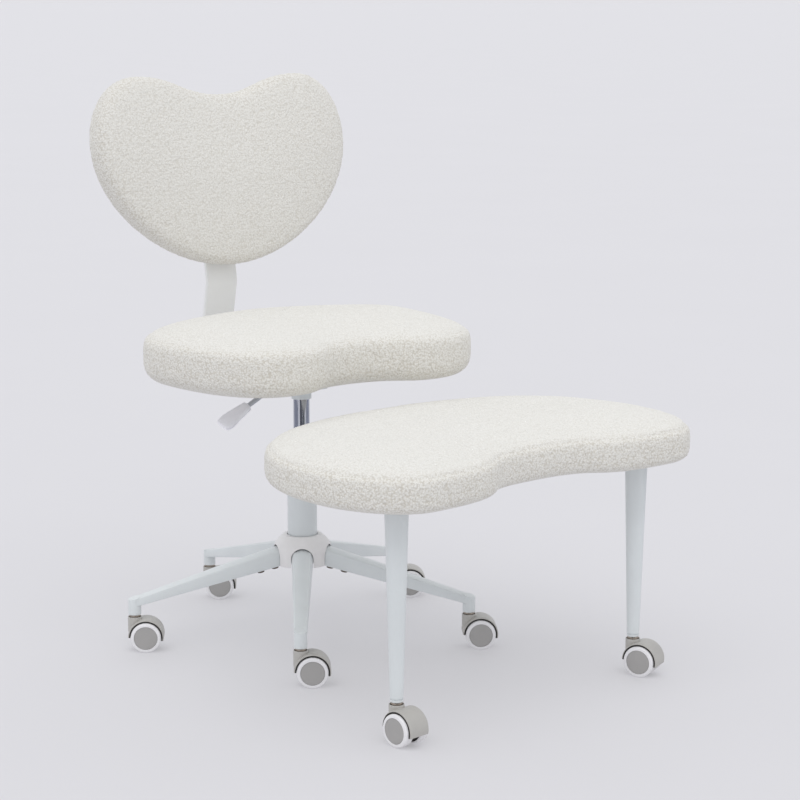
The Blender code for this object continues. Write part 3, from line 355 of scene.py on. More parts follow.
def place_wire(tree, stretch=(1.0, 1.0, 1.0)):
    """The point on the object, stretched along each axis."""
    point = Wire.node(tree, "ShaderNodeTexCoord", output=3)
    return Wire.node(tree, "ShaderNodeMapping", None, {"Vector": point, "Scale": stretch})


def grain(tree, point, scale, detail, rough=0.55):
    """Noise that runs from 0 to 1."""
    return Wire.node(tree, "ShaderNodeTexNoise", None,
                     {"Vector": point, "Scale": scale, "Detail": detail, "Roughness": rough})


def ramp(tree, value, *stops):
    """A value put through stops, each a place and a shade."""
    return Wire.node(tree, "ShaderNodeValToRGB", {"stops": stops}, {"Fac": value})


def bump(tree, height, strength, distance):
    """The normal of a surface that is raised by a wire."""
    return Wire.node(tree, "ShaderNodeBump", None, {"Height": height, "Strength": strength, "Distance": distance})


def new_finish(name):
    """An empty material with its tree and main shader."""
    material = bpy.data.materials.get(name)
    if material:
        bpy.data.materials.remove(material)
    material = bpy.data.materials.new(name)
    material.use_nodes = True
    tree = material.node_tree
    return material, tree, tree.nodes["Principled BSDF"]


def dress(tree, shader, wires, **constants):
    """Links what varies to the shader and sets what doesn't."""
    for name, wire in wires.items():
        tree.links.new(wire.socket, shader.inputs[name])
    for name, value in constants.items():
        shader.inputs[name.replace("_", " ")].default_value = value


def teddy_cloth(fabric):
    """Off-white curly pile: small nubs with their tips in the cloth's colour, painted shade in the pits between them,
    and fine fibres.
    """
    material, tree, shader = new_finish("teddy_cloth")
    curl = Wire.node(tree, "ShaderNodeAttribute", {"attribute_name": "curl"}, output=2)
    point = place_wire(tree)
    stray = Wire.node(tree, "ShaderNodeTexNoise", None, {"Vector": point, "Scale": 260.0, "Detail": 2.0}, 1)
    bent = Wire.node(tree, "ShaderNodeVectorMath", {"operation": "MULTIPLY_ADD"},
                     {0: stray, 1: (0.0014, 0.0014, 0.0014), 2: point})
    cell = Wire.node(tree, "ShaderNodeTexVoronoi", {"feature": "SMOOTH_F1"},
                     {"Vector": bent, "Scale": 330.0, "Smoothness": 0.25, "Randomness": 0.85})
    nub = 1.0 - cell * 1.25
    fibre = grain(tree, point, 900.0, 4.0, 0.65)
    cloud = grain(tree, point, 11.0, 2.0)
    # Painted shade: the pits between the nubs, the low places of the curls and the seams take the darker colour, the
    # more so where open is high
    tip = ramp(tree, curl * 0.16 + nub * 0.75 + fibre * 0.20 - 0.10, (0.10, 0.0), (0.52, 1.0))
    # stretch carries the open attribute: how much painted shade the pits take, the plan's share on top and all of it on
    # upright sides
    stretch = Wire.node(tree, "ShaderNodeAttribute", {"attribute_name": "open"}, output=2)
    pile = blend(tree, 1.0 - (1.0 - tip) * stretch, opaque(fabric.shade), opaque(fabric.light))
    colour = blend(tree, ramp(tree, cloud, (0.35, 0.0), (0.7, 0.14)), pile, opaque(fabric.light, 0.94))
    dress(tree, shader, {"Base Color": colour, "Normal": bump(tree, nub + fibre * 0.5, 0.6, 0.0012)},
          Roughness=0.95, Sheen_Weight=0.25, Sheen_Roughness=0.5, Specular_IOR_Level=0.15)
    return material


def powder_coat(name, paint):
    """Pale satin powder coat: fine orange peel and slightly uneven gloss."""
    material, tree, shader = new_finish(name)
    point = place_wire(tree)
    peel = grain(tree, point, 430.0, 2.0)
    cloud = grain(tree, point, 14.0, 3.0)
    colour = blend(tree, ramp(tree, cloud, (0.3, 0.0), (0.75, 1.0)), opaque(paint), opaque(paint, 0.95))
    dress(tree, shader, {"Base Color": colour, "Roughness": 0.30 + cloud * 0.16,
                         "Normal": bump(tree, peel, 0.20, 0.0004)},
          Coat_Weight=0.12, Coat_Roughness=0.2, Specular_IOR_Level=0.45)
    return material


def moulded(name, colour, roughness, grain_scale=900.0, depth=0.0003):
    """Moulded plastic with a fine spark-eroded grain and faint clouds."""
    material, tree, shader = new_finish(name)
    point = place_wire(tree)
    texture = grain(tree, point, grain_scale, 2.0)
    cloud = grain(tree, point, 32.0, 3.0)
    tone = blend(tree, ramp(tree, cloud * 0.7 + texture * 0.3, (0.3, 0.0), (0.72, 1.0)),
                 opaque(colour, 1.03), opaque(colour, 0.93))
    dress(tree, shader, {"Base Color": tone, "Roughness": roughness - 0.06 + texture * 0.14,
                         "Normal": bump(tree, texture, 0.25, depth)}, Specular_IOR_Level=0.42)
    return material


def plated(name, tint, roughness):
    """Plated or bare steel with faint drawing marks along Z and small smears."""
    material, tree, shader = new_finish(name)
    marks = grain(tree, place_wire(tree, (1.0, 1.0, 0.06)), 900.0, 2.0)
    smear = grain(tree, place_wire(tree), 45.0, 3.0)
    tone = blend(tree, ramp(tree, marks, (0.35, 0.0), (0.7, 1.0)), opaque(tint), opaque(tint, 0.88))
    dress(tree, shader, {"Base Color": tone, "Roughness": roughness + smear * 0.12,
                         "Normal": bump(tree, marks, 0.06, 0.0002)}, Metallic=1.0)
    return material


def backing_cloth(fabric):
    """The plain-woven cloth over the boards' bare faces: fine crossing yarns with thick and thin places."""
    material, tree, shader = new_finish("backing_cloth")
    point = place_wire(tree)
    slub = grain(tree, place_wire(tree, (0.12, 1.0, 1.0)), 260.0, 3.0)
    yarns = []
    for way in ("X", "DIAGONAL"):
        yarns.append(Wire.node(tree, "ShaderNodeTexWave", {"wave_type": "BANDS", "bands_direction": way},
                               {"Vector": point, "Scale": 200.0, "Distortion": 0.8, "Detail": 1.0}, 1))
    weave = yarns[0] * yarns[1]
    tone = ramp(tree, weave * 0.7 + slub * 0.5, (0.15, 0.0), (0.75, 1.0))
    colour = blend(tree, tone, opaque(fabric.light, 0.80), opaque(fabric.light, 0.98))
    dress(tree, shader, {"Base Color": colour, "Roughness": 0.82 + slub * 0.12,
                         "Normal": bump(tree, weave + slub * 0.4, 0.4, 0.0006)},
          Sheen_Weight=0.1, Specular_IOR_Level=0.2)
    return material


def studio_floor(stage):
    """Matt pale floor with a hardly visible mottle."""
    material, tree, shader = new_finish("studio_floor")
    cloud = grain(tree, place_wire(tree), 1.3, 3.0)
    shade = tuple(channel * (1.0 - stage.glow) for channel in stage.floor)
    colour = blend(tree, cloud, opaque(shade, 0.98), opaque(shade, 1.02))
    dress(tree, shader, {"Base Color": colour}, Roughness=0.7, Specular_IOR_Level=0.08,
          Emission_Color=opaque(stage.floor), Emission_Strength=stage.glow * (stage.fill + stage.key / math.pi))
    return material


def only(kind, geom):
    """The vertices, edges or faces among what an operator gave."""
    return [part for part in geom if isinstance(part, kind)]


def mesh_of(bm, name):
    """The bmesh as a mesh. The bmesh is freed."""
    mesh = bpy.data.meshes.new(name)
    bm.to_mesh(mesh)
    bm.free()
    return mesh


def linked(name, data):
    """A new object in the scene."""
    obj = bpy.data.objects.new(name, data)
    bpy.context.scene.collection.objects.link(obj)
    return obj


def tidied(bm):
    """The mesh with its doubles merged and its faces pointing out."""
    bmesh.ops.remove_doubles(bm, verts=bm.verts, dist=1e-6)
    bmesh.ops.recalc_face_normals(bm, faces=bm.faces)
    return bm


def softened(bm, offset, segments=2, angle=32.0):
    """The mesh with its sharp edges rounded."""
    sharp = [e for e in bm.edges if len(e.link_faces) == 2 and e.calc_face_angle() > math.radians(angle)]
    bmesh.ops.bevel(bm, geom=sharp, offset=offset, affect="EDGES", segments=segments, profile=0.5,
                    material=-1, clamp_overlap=True)
    return bm


def moved(bm, matrix):
    """The mesh moved by a matrix."""
    bmesh.ops.transform(bm, matrix=matrix, verts=bm.verts)
    return bm


def joined(*shells):
    """Several meshes as one."""
    whole = bmesh.new()
    for shell in shells:
        mesh = mesh_of(shell, "shell")
        whole.from_mesh(mesh)
        bpy.data.meshes.remove(mesh)
    return whole


def copied(bm, matrix):
    """A moved copy of a mesh."""
    return moved(bm.copy(), matrix)


def wire_of(bm, points, closed=False):
    """Points joined by edges."""
    verts = [bm.verts.new(point) for point in points]
    pairs = list(zip(verts, verts[1:]))
    if closed:
        pairs.append((verts[-1], verts[0]))
    return verts + [bm.edges.new(pair) for pair in pairs]


def turned(profile, sides, closed=False):
    """A profile of (radius, height) pairs spun about +Z. A closed one is a ring."""
    bm = bmesh.new()
    geom = wire_of(bm, [(radius, 0.0, height) for radius, height in profile], closed)
    bmesh.ops.spin(bm, geom=geom, axis=UP, cent=(0.0, 0.0, 0.0), angle=2 * math.pi, steps=sides, use_merge=True)
    return tidied(bm)


def finished(name, bm, material, body, slot, *nodes, crease=35.0):
    """The mesh as a piece that rides a body and stands for CAD nodes."""
    return finished_mesh(name, mesh_of(bm, name), material, body, slot, *nodes, crease=crease)


def finished_mesh(name, mesh, material, body, slot, *nodes, crease=35.0):
    """A mesh as a piece, with its edges sharp past the crease angle."""
    mesh.name = name
    mesh.materials.clear()
    mesh.materials.append(material)
    mesh.shade_smooth()
    mesh.set_sharp_from_angle(angle=math.radians(crease))
    obj = linked(name, mesh)
    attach(obj, body)
    if nodes:
        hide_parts(*nodes)
    return obj


def taken_from(obj):
    """An object's mesh after its modifiers. The object is removed."""
    graph = bpy.context.evaluated_depsgraph_get()
    mesh = bpy.data.meshes.new_from_object(obj.evaluated_get(graph))
    bpy.data.objects.remove(obj)
    return mesh


def after_modifiers(mesh, *steps):
    """A mesh put through modifiers, each a kind and its settings."""
    obj = linked("modified", mesh)
    for kind, settings in steps:
        modifier = obj.modifiers.new(kind.lower(), kind)
        for name, value in settings.items():
            setattr(modifier, name, value)
    return taken_from(obj)


def cut(bm, tools):
    """A mesh with other closed meshes cut out of it."""
    mesh = mesh_of(bm, "cut")
    helpers = [linked("tool", mesh_of(tool, "tool")) for tool in tools]
    steps = [("BOOLEAN", {"operation": "DIFFERENCE", "solver": "EXACT", "object": helper}) for helper in helpers]
    result = after_modifiers(mesh, *steps)
    for helper in helpers:
        bpy.data.objects.remove(helper)
    out = bmesh.new()
    out.from_mesh(result)
    return out


def facing(point, way):
    """The place at a point with +Z turned to a direction."""
    return Matrix.Translation(point) @ UP.rotation_difference(Vector(way)).to_matrix().to_4x4()


def about_column(angle=0.0, height=0.0):
    """The place that turns a shape about the column and raises it."""
    return Matrix.Translation(COLUMN + Vector((0.0, 0.0, height))) @ Matrix.Rotation(angle, 4, "Z")


def bezier(start, lead, trail, end):
    """Points on a cubic curve, without its end."""
    points = []
    for i in range(CURVE_STEPS):
        t = i / CURVE_STEPS
        s = 1.0 - t
        weights = (s**3, 3 * s * s * t, 3 * s * t * t, t**3)
        points.append(sum((Vector(c) * w for w, c in zip(weights, (start, lead, trail, end))), Vector((0.0, 0.0))))
    return points


def bean(plan):
    """The kidney outline of a cushion as (sideways, forwards) points."""
    half, back, widest, lobe, front = (plan[k] for k in ("width", "back", "widest", "lobe", "front"))
    half /= 2
    dip = front - plan["notch"]
    near, rear, fore, round_off, fall, hollow = plan["ease"]
    right = bezier((0.0, back), (near * half, back), (half, widest - rear * (widest - back)), (half, widest))
    right += bezier((half, widest), (half, widest + fore * (front - widest)),
                    (lobe + round_off * (half - lobe), front), (lobe, front))
    right += bezier((lobe, front), (lobe * (1.0 - fall), front), (lobe * hollow, dip), (0.0, dip))
    left = [Vector((-p.x, p.y)) for p in reversed(right[1:])]
    return [*right, Vector((0.0, dip)), *left]


def drawn_in(outline, distance):
    """The outline moved inwards, square to itself."""
    ring = []
    for i, point in enumerate(outline):
        along = (outline[(i + 1) % len(outline)] - outline[i - 1]).normalized()
        ring.append(point + Vector((-along.y, along.x)) * distance)
    return ring


def towards_spine(ring, plan, share):
    """The ring drawn towards the middle line of the cushion, for its crown."""
    half = plan["width"] / 2
    middle = (plan["back"] + plan["front"] - plan["notch"]) / 2
    drawn = []
    for point in ring:
        spine_x = SPINE_REACH * point.x
        spine_y = middle + (plan["widest"] - middle) * (point.x / half) ** 2
        drawn.append(point.lerp(Vector((spine_x, spine_y)), share))
    return drawn


def seam_height(plan):
    """The height of the seam round a cushion's side."""
    return plan["seam"] + SEAM_ABOVE * plan["top_round"]


def padding(plan, forwards):
    """The padding before it is inflated: a closed skin round the board's pocket, smaller by the room it needs."""
    room = plan["room"]
    outline = drawn_in(bean(plan), room)
    under, top = plan["under_round"] - room, plan["top_round"]
    side_top = plan["seam"] - TOP_BELOW_SEAM * top - room
    pocket = BOARD_INSET - room - POCKET_ROOM
    rings = [(pocket, BOARD_THICKNESS + POCKET_ROOM), (pocket, 0.0), (under, 0.0)]
    quarter = [math.pi / 2 * i / ROUND_STEPS for i in range(1, ROUND_STEPS + 1)]
    rings += [(under * (1.0 - math.sin(angle)), under * (1.0 - math.cos(angle))) for angle in quarter]
    rings.append((0.0, side_top))
    rings += [(top * (1.0 - math.cos(angle)), side_top + TOP_FLATNESS * top * math.sin(angle)) for angle in quarter]
    levels = [(drawn_in(outline, reach), z) for reach, z in rings]
    edge, rim = levels[-1]
    for share in CROWN_SHARES:
        rise = plan["crown"] * (1.0 - max(0.0, 1.0 - share / CROWN_FULL) ** 2)
        levels.append((towards_spine(edge, plan, share), rim + rise))
    bm = bmesh.new()
    loops = [wire_of(bm, [(p.x, forwards * p.y, z) for p in ring], closed=True) for ring, z in levels]
    edges = [only(BMEdge, loop) for loop in loops]
    for lower, upper in zip(edges, edges[1:]):
        bmesh.ops.bridge_loops(bm, edges=lower + upper)
    for loop in (edges[0], edges[-1]):
        bmesh.ops.contextual_create(bm, geom=loop)
    bmesh.ops.triangulate(bm, faces=[face for face in bm.faces if len(face.verts) > 4])
    return tidied(bm)


def coordinates(mesh, kind="co"):
    """The vertices' places or normals as rows."""
    values = np.empty(len(mesh.vertices) * 3)
    mesh.vertices.foreach_get(kind, values)
    return values.reshape(-1, 3)


def inflated(mesh, plan, fabric):
    """The padding after air pressure has filled its cover, held at the seam and underneath."""
    obj = linked("inflating", mesh)
    start = coordinates(mesh)
    seam = seam_height(plan) - plan["room"]
    held = obj.vertex_groups.new(name="held")
    low = np.nonzero(start[:, 2] < HELD_UNDER * plan["under_round"])[0]
    sewn = np.nonzero(np.abs(start[:, 2] - seam) < HELD_AT_SEAM * fabric.voxel)[0]
    held.add([int(i) for i in low], 1.0, "REPLACE")
    held.add([int(i) for i in sewn], 1.0, "REPLACE")
    cloth = obj.modifiers.new("fill", "CLOTH")
    cloth.settings.quality = CLOTH_QUALITY
    cloth.settings.mass = CLOTH_MASS
    cloth.settings.use_pressure = True
    cloth.settings.uniform_pressure_force = fabric.pressure
    cloth.settings.vertex_group_mass = "held"
    cloth.settings.effector_weights.gravity = 0.0
    scene = bpy.context.scene
    for number in range(1, FILL_FRAMES + 1):
        scene.frame_set(number)
    filled = taken_from(obj)
    scene.frame_set(1)
    step = coordinates(filled) - start
    length = np.maximum(np.linalg.norm(step, axis=1, keepdims=True), 1e-9)
    place = start + step * np.minimum(1.0, fabric.swell / length)
    filled.vertices.foreach_set("co", place.ravel())
    filled.update()
    return filled


def sewn_and_curled(mesh, plan, fabric, side_seams, middle):
    """Seams pressed into the padding and the pile's curls raised on it, with what the cloth's colour needs kept."""
    place, normal = coordinates(mesh), coordinates(mesh, "normal")
    rise = seam_height(plan)
    # From 0 where the cloth lies flat to 1 where it stands upright
    side = np.clip(1.4 * np.hypot(normal[:, 0], normal[:, 1]) - 0.2, 0.0, 1.0)
    valley = plan["sewn"] * np.exp(-((place[:, 2] - rise) / fabric.seam_width) ** 2) * side
    for x in side_seams:
        near = (place[:, 1] < middle) * (place[:, 2] < rise) * (place[:, 2] > PILE_START)
        across = np.exp(-((place[:, 0] - x) / (SIDE_SEAM_WIDTH * fabric.seam_width)) ** 2)
        valley = np.maximum(valley, SIDE_SEAM_DEPTH * near * side * across)
    # From 0 underneath, where the cloth has no pile, to 1
    shown = np.clip((normal[:, 2] + 0.75) * 4.0, 0.0, 1.0) * np.clip(place[:, 2] / PILE_START, 0.0, 1.0)
    curl = np.empty(len(place))
    for i, point in enumerate(place / fabric.curl_size):
        spot = Vector(point)
        near = noise.voronoi(spot + CURL_STRAY * noise.noise_vector(spot * STRAY_SCALE))[0][0]
        curl[i] = 1.0 - CURL_FALL * near
    curl = np.clip(curl, 0.0, 1.0)
    lift = fabric.curl_height * shown * (curl - CURL_MIDDLE) * (1.0 - SEAM_FLATTENS * valley)
    lift -= fabric.seam_depth * valley
    place += normal * lift[:, None]
    mesh.vertices.foreach_set("co", place.ravel())
    # curl also carries painted shade in the seams; open is how much painted shade the pits take, the plan's share on
    # top and all of it on upright sides
    for name, values in (("curl", curl * (1.0 - SEAM_PAINTED_SHADE * valley)),
                         ("open", plan["open"] + (1.0 - plan["open"]) * side)):
        mesh.attributes.new(name, "FLOAT", "POINT").data.foreach_set("value", values)
    mesh.update()


def sewn_cushion(name, plan, fabric, material, body, matrix, side_seams=(), upright=False):
    """One cushion: its padding is remeshed, inflated, smoothed, sewn, given its pile and put in its place."""
    forwards = 1.0 if upright else -1.0
    mesh = mesh_of(padding(plan, forwards), name)
    mesh = after_modifiers(mesh, ("REMESH", {"mode": "VOXEL", "voxel_size": fabric.voxel}),
                           ("SMOOTH", {"factor": 0.5, "iterations": 4}))
    mesh = inflated(mesh, plan, fabric)
    levels = 2
    mesh = after_modifiers(mesh, ("SMOOTH", {"factor": 0.5, "iterations": 2}),
                           ("SUBSURF", {"levels": levels, "render_levels": levels}))
    sewn_and_curled(mesh, plan, fabric, side_seams, forwards * (plan["back"] + plan["front"]) / 2)
    mesh.transform(matrix)
    return finished_mesh(name, mesh, material, body, "boucle", name.replace("teddy", "cushion"),
                                   crease=180.0)


class CHAIR_OT_cushions(bpy.types.Operator):
    """Pads and covers the seat, the back and the footrest"""

    bl_idname = "chair.cushions"
    bl_label = "Cushions"

    def execute(self, context):
        fabric = context.scene.chair.fabric
        cloth = teddy_cloth(fabric)
        sewn_cushion("seat_teddy", SEAT_PLAN, fabric, cloth, "seat", about_column(0.0, SEAT_UNDER))
        sewn_cushion("footrest_teddy", FOOTREST_PLAN, fabric, cloth, "footrest",
                     about_column(FOOTREST_TURN, FOOTREST_UNDER) @ Matrix.Translation(FOOTREST_PAD_SHIFT),
                     side_seams=(-SIDE_SEAM, SIDE_SEAM))
        rear = BAR_THICKNESS / 2 + BACK_PAD_GAP
        foot = BACK_FOOT - Vector((0.0, math.cos(BACK_LEAN), math.sin(BACK_LEAN))) * rear
        matrix = Matrix.Translation(COLUMN + foot) @ Matrix.Rotation(math.pi / 2 - BACK_PAD_LEAN, 4, "X")
        sewn_cushion("back_teddy", BACK_PLAN, fabric, cloth, "seat", matrix, upright=True)
        return {"FINISHED"}


def arch(bm, width, height):
    """A flat-bottomed, round-topped face standing on z = 0 across X."""
    spring = height - min(width / 2, ARCH_ROUND * height)
    bmesh.ops.create_circle(bm, cap_ends=True, segments=48, radius=width / 2)
    bmesh.ops.rotate(bm, verts=bm.verts, cent=(0.0, 0.0, 0.0), matrix=Matrix.Rotation(math.pi / 2, 3, "X"))
    bmesh.ops.scale(bm, verts=bm.verts, vec=(1.0, 1.0, (height - spring) / (width / 2)))
    bmesh.ops.bisect_plane(bm, geom=[*bm.verts, *bm.edges, *bm.faces], dist=1e-7, plane_co=(0.0, 0.0, 0.0),
                           plane_no=(0.0, 0.0, -1.0), clear_outer=True)
    chord = [e for e in bm.edges if all(abs(v.co.z) < 1e-6 for v in e.verts)]
    bmesh.ops.translate(bm, verts=bm.verts, vec=(0.0, 0.0, spring))
    made = bmesh.ops.extrude_edge_only(bm, edges=chord)["geom"]
    bmesh.ops.translate(bm, verts=only(BMVert, made), vec=(0.0, 0.0, -spring))
    return list(bm.faces)


def pulled(bm, faces, matrix, first=False):
    """Faces extruded and moved by a matrix. The first ones stay as the closed end. Gives the new faces."""
    made = bmesh.ops.extrude_face_region(bm, geom=faces)["geom"]
    bmesh.ops.transform(bm, matrix=matrix, verts=only(BMVert, made))
    if not first:
        bmesh.ops.delete(bm, geom=faces, context="FACES_ONLY")
    return only(BMFace, made)


def pulled_through(bm, spots):
    """The mesh's faces put at the first of some places and pulled through the others."""
    faces = list(bm.faces)
    moved(bm, spots[0])
    for i, (before, after) in enumerate(zip(spots, spots[1:])):
        faces = pulled(bm, faces, after @ before.inverted(), first=i == 0)
    return tidied(bm)


def arm_section(reach, under, width, height, first):
    """The matrix that moves and scales the first section of an arm to another place along it."""
    first_reach, first_under, first_width, first_height = first
    scale = Matrix.Diagonal((width / first_width, 1.0, height / first_height, 1.0))
    return Matrix.Translation((0.0, -reach, under)) @ scale @ Matrix.Translation((0.0, first_reach, -first_under))


def base_arm(metal):
    """One arm along -Y from the column: a tapering arch that runs into the upright socket of its caster."""
    radius = (swivel_point(1) - COLUMN).length
    first = (ARM_START, ARM_END + ARM_RISE, ARM_WIDTH, ARM_HEIGHT)
    last = (radius, ARM_END, ARM_END_WIDTH, ARM_END_HEIGHT)
    bm = bmesh.new()
    faces = arch(bm, ARM_WIDTH, ARM_HEIGHT)
    moved(bm, Matrix.Translation((0.0, -first[0], first[1])))
    before = first
    for share in ARM_SHARES:
        here = tuple(a + (b - a) * share for a, b in zip(first, last))
        step = arm_section(*here, first) @ arm_section(*before, first).inverted()
        faces = pulled(bm, faces, step, first=before is first)
        before = here
    for vert in bm.verts:
        share = (-vert.co.y - ARM_START) / (radius - ARM_START)
        _, under, width, height = (a + (b - a) * share for a, b in zip(first, last))
        across = vert.co.x / (width / 2)
        up = (vert.co.z - under - ARCH_STRAIGHT * height) / (ARCH_ROUND * height)
        if up > 0.0:
            reach = max(abs(across), up) ** min(0.7, 0.25 + 1.2 * share)
            vert.co.x = across / reach * width / 2
            vert.co.z = under + (ARCH_STRAIGHT + ARCH_ROUND * up / reach) * height
    softened(tidied(bm), metal.edge, 3, 40.0)
    top = ARM_END + ARM_END_HEIGHT
    slope = (ARM_RISE + ARM_HEIGHT - ARM_END_HEIGHT) / (radius - ARM_START)
    socket = turned([(0.0, SOCKET_BOTTOM), (0.0100, SOCKET_BOTTOM), (SOCKET_RADIUS, SOCKET_BOTTOM + 0.0007),
                     (SOCKET_RADIUS, top + 0.008), (0.0, top + 0.008)], metal.sides)
    moved(socket, Matrix.Translation((0.0, -radius, 0.0)))
    made = bmesh.ops.bisect_plane(socket, geom=[*socket.verts, *socket.edges, *socket.faces], dist=1e-7,
                                  plane_co=(0.0, -radius, top + 0.0002), plane_no=(0.0, -slope, 1.0), clear_outer=True)
    bmesh.ops.contextual_create(socket, geom=only(BMEdge, made["geom_cut"]))
    return joined(bm, softened(tidied(socket), 0.0012, 3))


def bolt_head(radius, height):
    """A low round head with a round recess, standing on z = 0."""
    bm = bmesh.new()
    bmesh.ops.create_circle(bm, cap_ends=True, segments=36, radius=radius)
    top = pulled(bm, list(bm.faces), Matrix.Translation((0.0, 0.0, height)), first=True)
    bmesh.ops.inset_region(bm, faces=top, thickness=radius * RECESS_INSET)
    pulled(bm, top, Matrix.Translation((0.0, 0.0, -height * RECESS_DEPTH)))
    return softened(tidied(bm), radius * BOLT_EDGE)


class CHAIR_OT_base(bpy.types.Operator):
    """Builds the five arms, their bolts, the hub and its cover"""

    bl_idname = "chair.base"
    bl_label = "Base"

    def execute(self, context):
        metal, plastic = context.scene.chair.metal, context.scene.chair.plastic
        paint = powder_coat("powder_coat", metal.paint)
        steel = plated("dark_bolt", tuple(0.35 * c for c in metal.steel), 0.34)
        arm = base_arm(metal)
        bolts = []
        for number in BASE_CASTERS:
            turn = turn_of(swivel_point(number))
            finished(f"arm_shell_{number}", copied(arm, about_column(turn)), paint, "base", "painted_steel",
                     f"arm_{number}")
            slope = math.atan2(ARM_RISE, (swivel_point(number) - COLUMN).length - ARM_START)
            for reach in ARM_BOLTS:
                under = ARM_END + ARM_RISE - (reach - ARM_START) * math.tan(slope)
                head = bolt_head(metal.bolt_radius, ARM_BOLT_HEIGHT)
                moved(head, Matrix.Rotation(math.pi + slope, 4, "X"))
                bolts.append(moved(head, about_column(turn) @ Matrix.Translation((0.0, -reach, under))))
        arm.free()
        finished("arm_bolts", joined(*bolts), steel, "base", "bright_steel")
        low, high = (corner.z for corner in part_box("base_hub"))
        shoulder = high - 0.0115
        hub = turned([(0.0253, low), (0.0380, low), (0.0380, shoulder), (0.0305, shoulder), (0.0305, high),
                      (0.0253, high)], metal.sides, closed=True)
        finished("hub_block", moved(softened(hub, 0.0008), about_column(BASE_TURN)), paint, "base", "painted_steel",
                 "base_hub")
        self.cover(plastic, metal.sides, shoulder)
        return {"FINISHED"}

    def cover(self, plastic, sides, shoulder):
        """The plastic cap over the hub, with an arched mouth over each arm."""
        low, high = (corner.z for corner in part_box("hub_cover"))
        rim = [(0.0487, low), (0.0493, low + 0.0008), (0.0495, low + 0.010), (0.0494, shoulder - 0.010),
               (0.0487, shoulder - 0.004), (0.0470, shoulder + 0.001), (0.0438, shoulder + 0.006),
               (0.0394, shoulder + 0.011), (0.0348, high - 0.0022), (0.0332, high - 0.0004), (0.0316, high)]
        inside = [(0.0260, high), (0.0260, high - 0.005), (0.0308, high - 0.005), (0.0308, shoulder + 0.0003),
                  (0.0468, shoulder + 0.0003), (0.0468, low)]
        shell = turned(rim + inside, sides, closed=True)
        mouths = []
        for number in BASE_CASTERS:
            mouth = bmesh.new()
            faces = arch(mouth, MOUTH_WIDTH, shoulder + 0.001 - low + MOUTH_BELOW)
            moved(mouth, Matrix.Translation((0.0, -MOUTH_FROM, low - MOUTH_BELOW)))
            pulled(mouth, faces, Matrix.Translation((0.0, -MOUTH_DEPTH, 0.0)))
            bmesh.ops.holes_fill(mouth, edges=mouth.edges)
            mouths.append(moved(tidied(mouth), Matrix.Rotation(turn_of(swivel_point(number)) - BASE_TURN, 4, "Z")))
        bm = cut(shell, mouths)
        colour = moulded("cover_moulding", plastic.cover, 0.46)
        finished("hub_cap", moved(bm, about_column(BASE_TURN)), colour, "base", "cover_plastic", "hub_cover",
                 crease=28.0)


class CHAIR_OT_column(bpy.types.Operator):
    """Turns the column tube, its bush and the gas cylinder"""

    bl_idname = "chair.column"
    bl_label = "Column"

    def execute(self, context):
        metal, plastic = context.scene.chair.metal, context.scene.chair.plastic
        paint = bpy.data.materials["powder_coat"]
        collar_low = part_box("swing_arm")[0].z
        ring = (collar_low - 0.0063, collar_low - 0.0003)
        tube = turned([(0.025, TUBE_LOW), (0.025, ring[0]), (0.031, ring[0]), (0.031, ring[1]), (0.025, ring[1]),
                       (0.025, TUBE_HIGH), (0.023, TUBE_HIGH), (0.023, TUBE_LOW)], metal.sides, closed=True)
        finished("tube_shell", moved(softened(tube, 0.0006), about_column()), paint, "base", "painted_steel",
                 "column_tube")
        low, high = (corner.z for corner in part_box("guide_bush"))
        bush = turned([(0.0144, low), (0.0226, low), (0.0226, high - 0.003), (0.025, high - 0.003),
                       (0.025, high - 0.0008), (0.0242, high), (0.0158, high), (0.0144, high - 0.0012)],
                      metal.sides, closed=True)
        colour = moulded("bush_moulding", plastic.bush, 0.4)
        finished("bush_ring", moved(softened(bush, 0.0004), about_column()), colour, "base", "bush_plastic",
                 "guide_bush")
        low, high = (corner.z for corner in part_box("gas_cylinder"))
        chrome = plated("chrome_plate", metal.chrome, 0.05)
        cylinder = turned([(0.0054, low), (0.0125, low), (0.014, low + 0.002), (0.014, high - 0.0008), (0.0132, high),
                           (0.0046, high), (0.0046, low)], metal.sides, closed=True)
        finished("lift_cylinder", moved(cylinder, about_column()), chrome, "seat", "chrome", "gas_cylinder")
        return {"FINISHED"}


class CHAIR_OT_legs(bpy.types.Operator):
    """Turns the two tapering legs of the footrest"""

    bl_idname = "chair.legs"
    bl_label = "Legs"

    def execute(self, context):
        metal = context.scene.chair.metal
        paint = bpy.data.materials["powder_coat"]
        low, high = (corner.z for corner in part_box("leg_right"))
        for number, node in zip(FOOTREST_CASTERS, ("leg_right", "leg_left")):
            leg = turned([(0.0054, low + 0.018), (0.0054, low), (0.0090, low), (0.0098, low + 0.0008),
                          (0.0099, low + 0.0038), (0.0086, low + 0.0042), (0.0086, low + 0.0054),
                          (0.0100, low + 0.0058), (0.0180, high - 0.0006), (0.0174, high), (0.0150, high),
                          (0.0100, low + 0.0220), (0.0, low + 0.0220)], metal.sides)
            finished(f"{node}_tube", moved(leg, Matrix.Translation(swivel_point(number))), paint, "footrest",
                     "painted_steel", node)
        return {"FINISHED"}


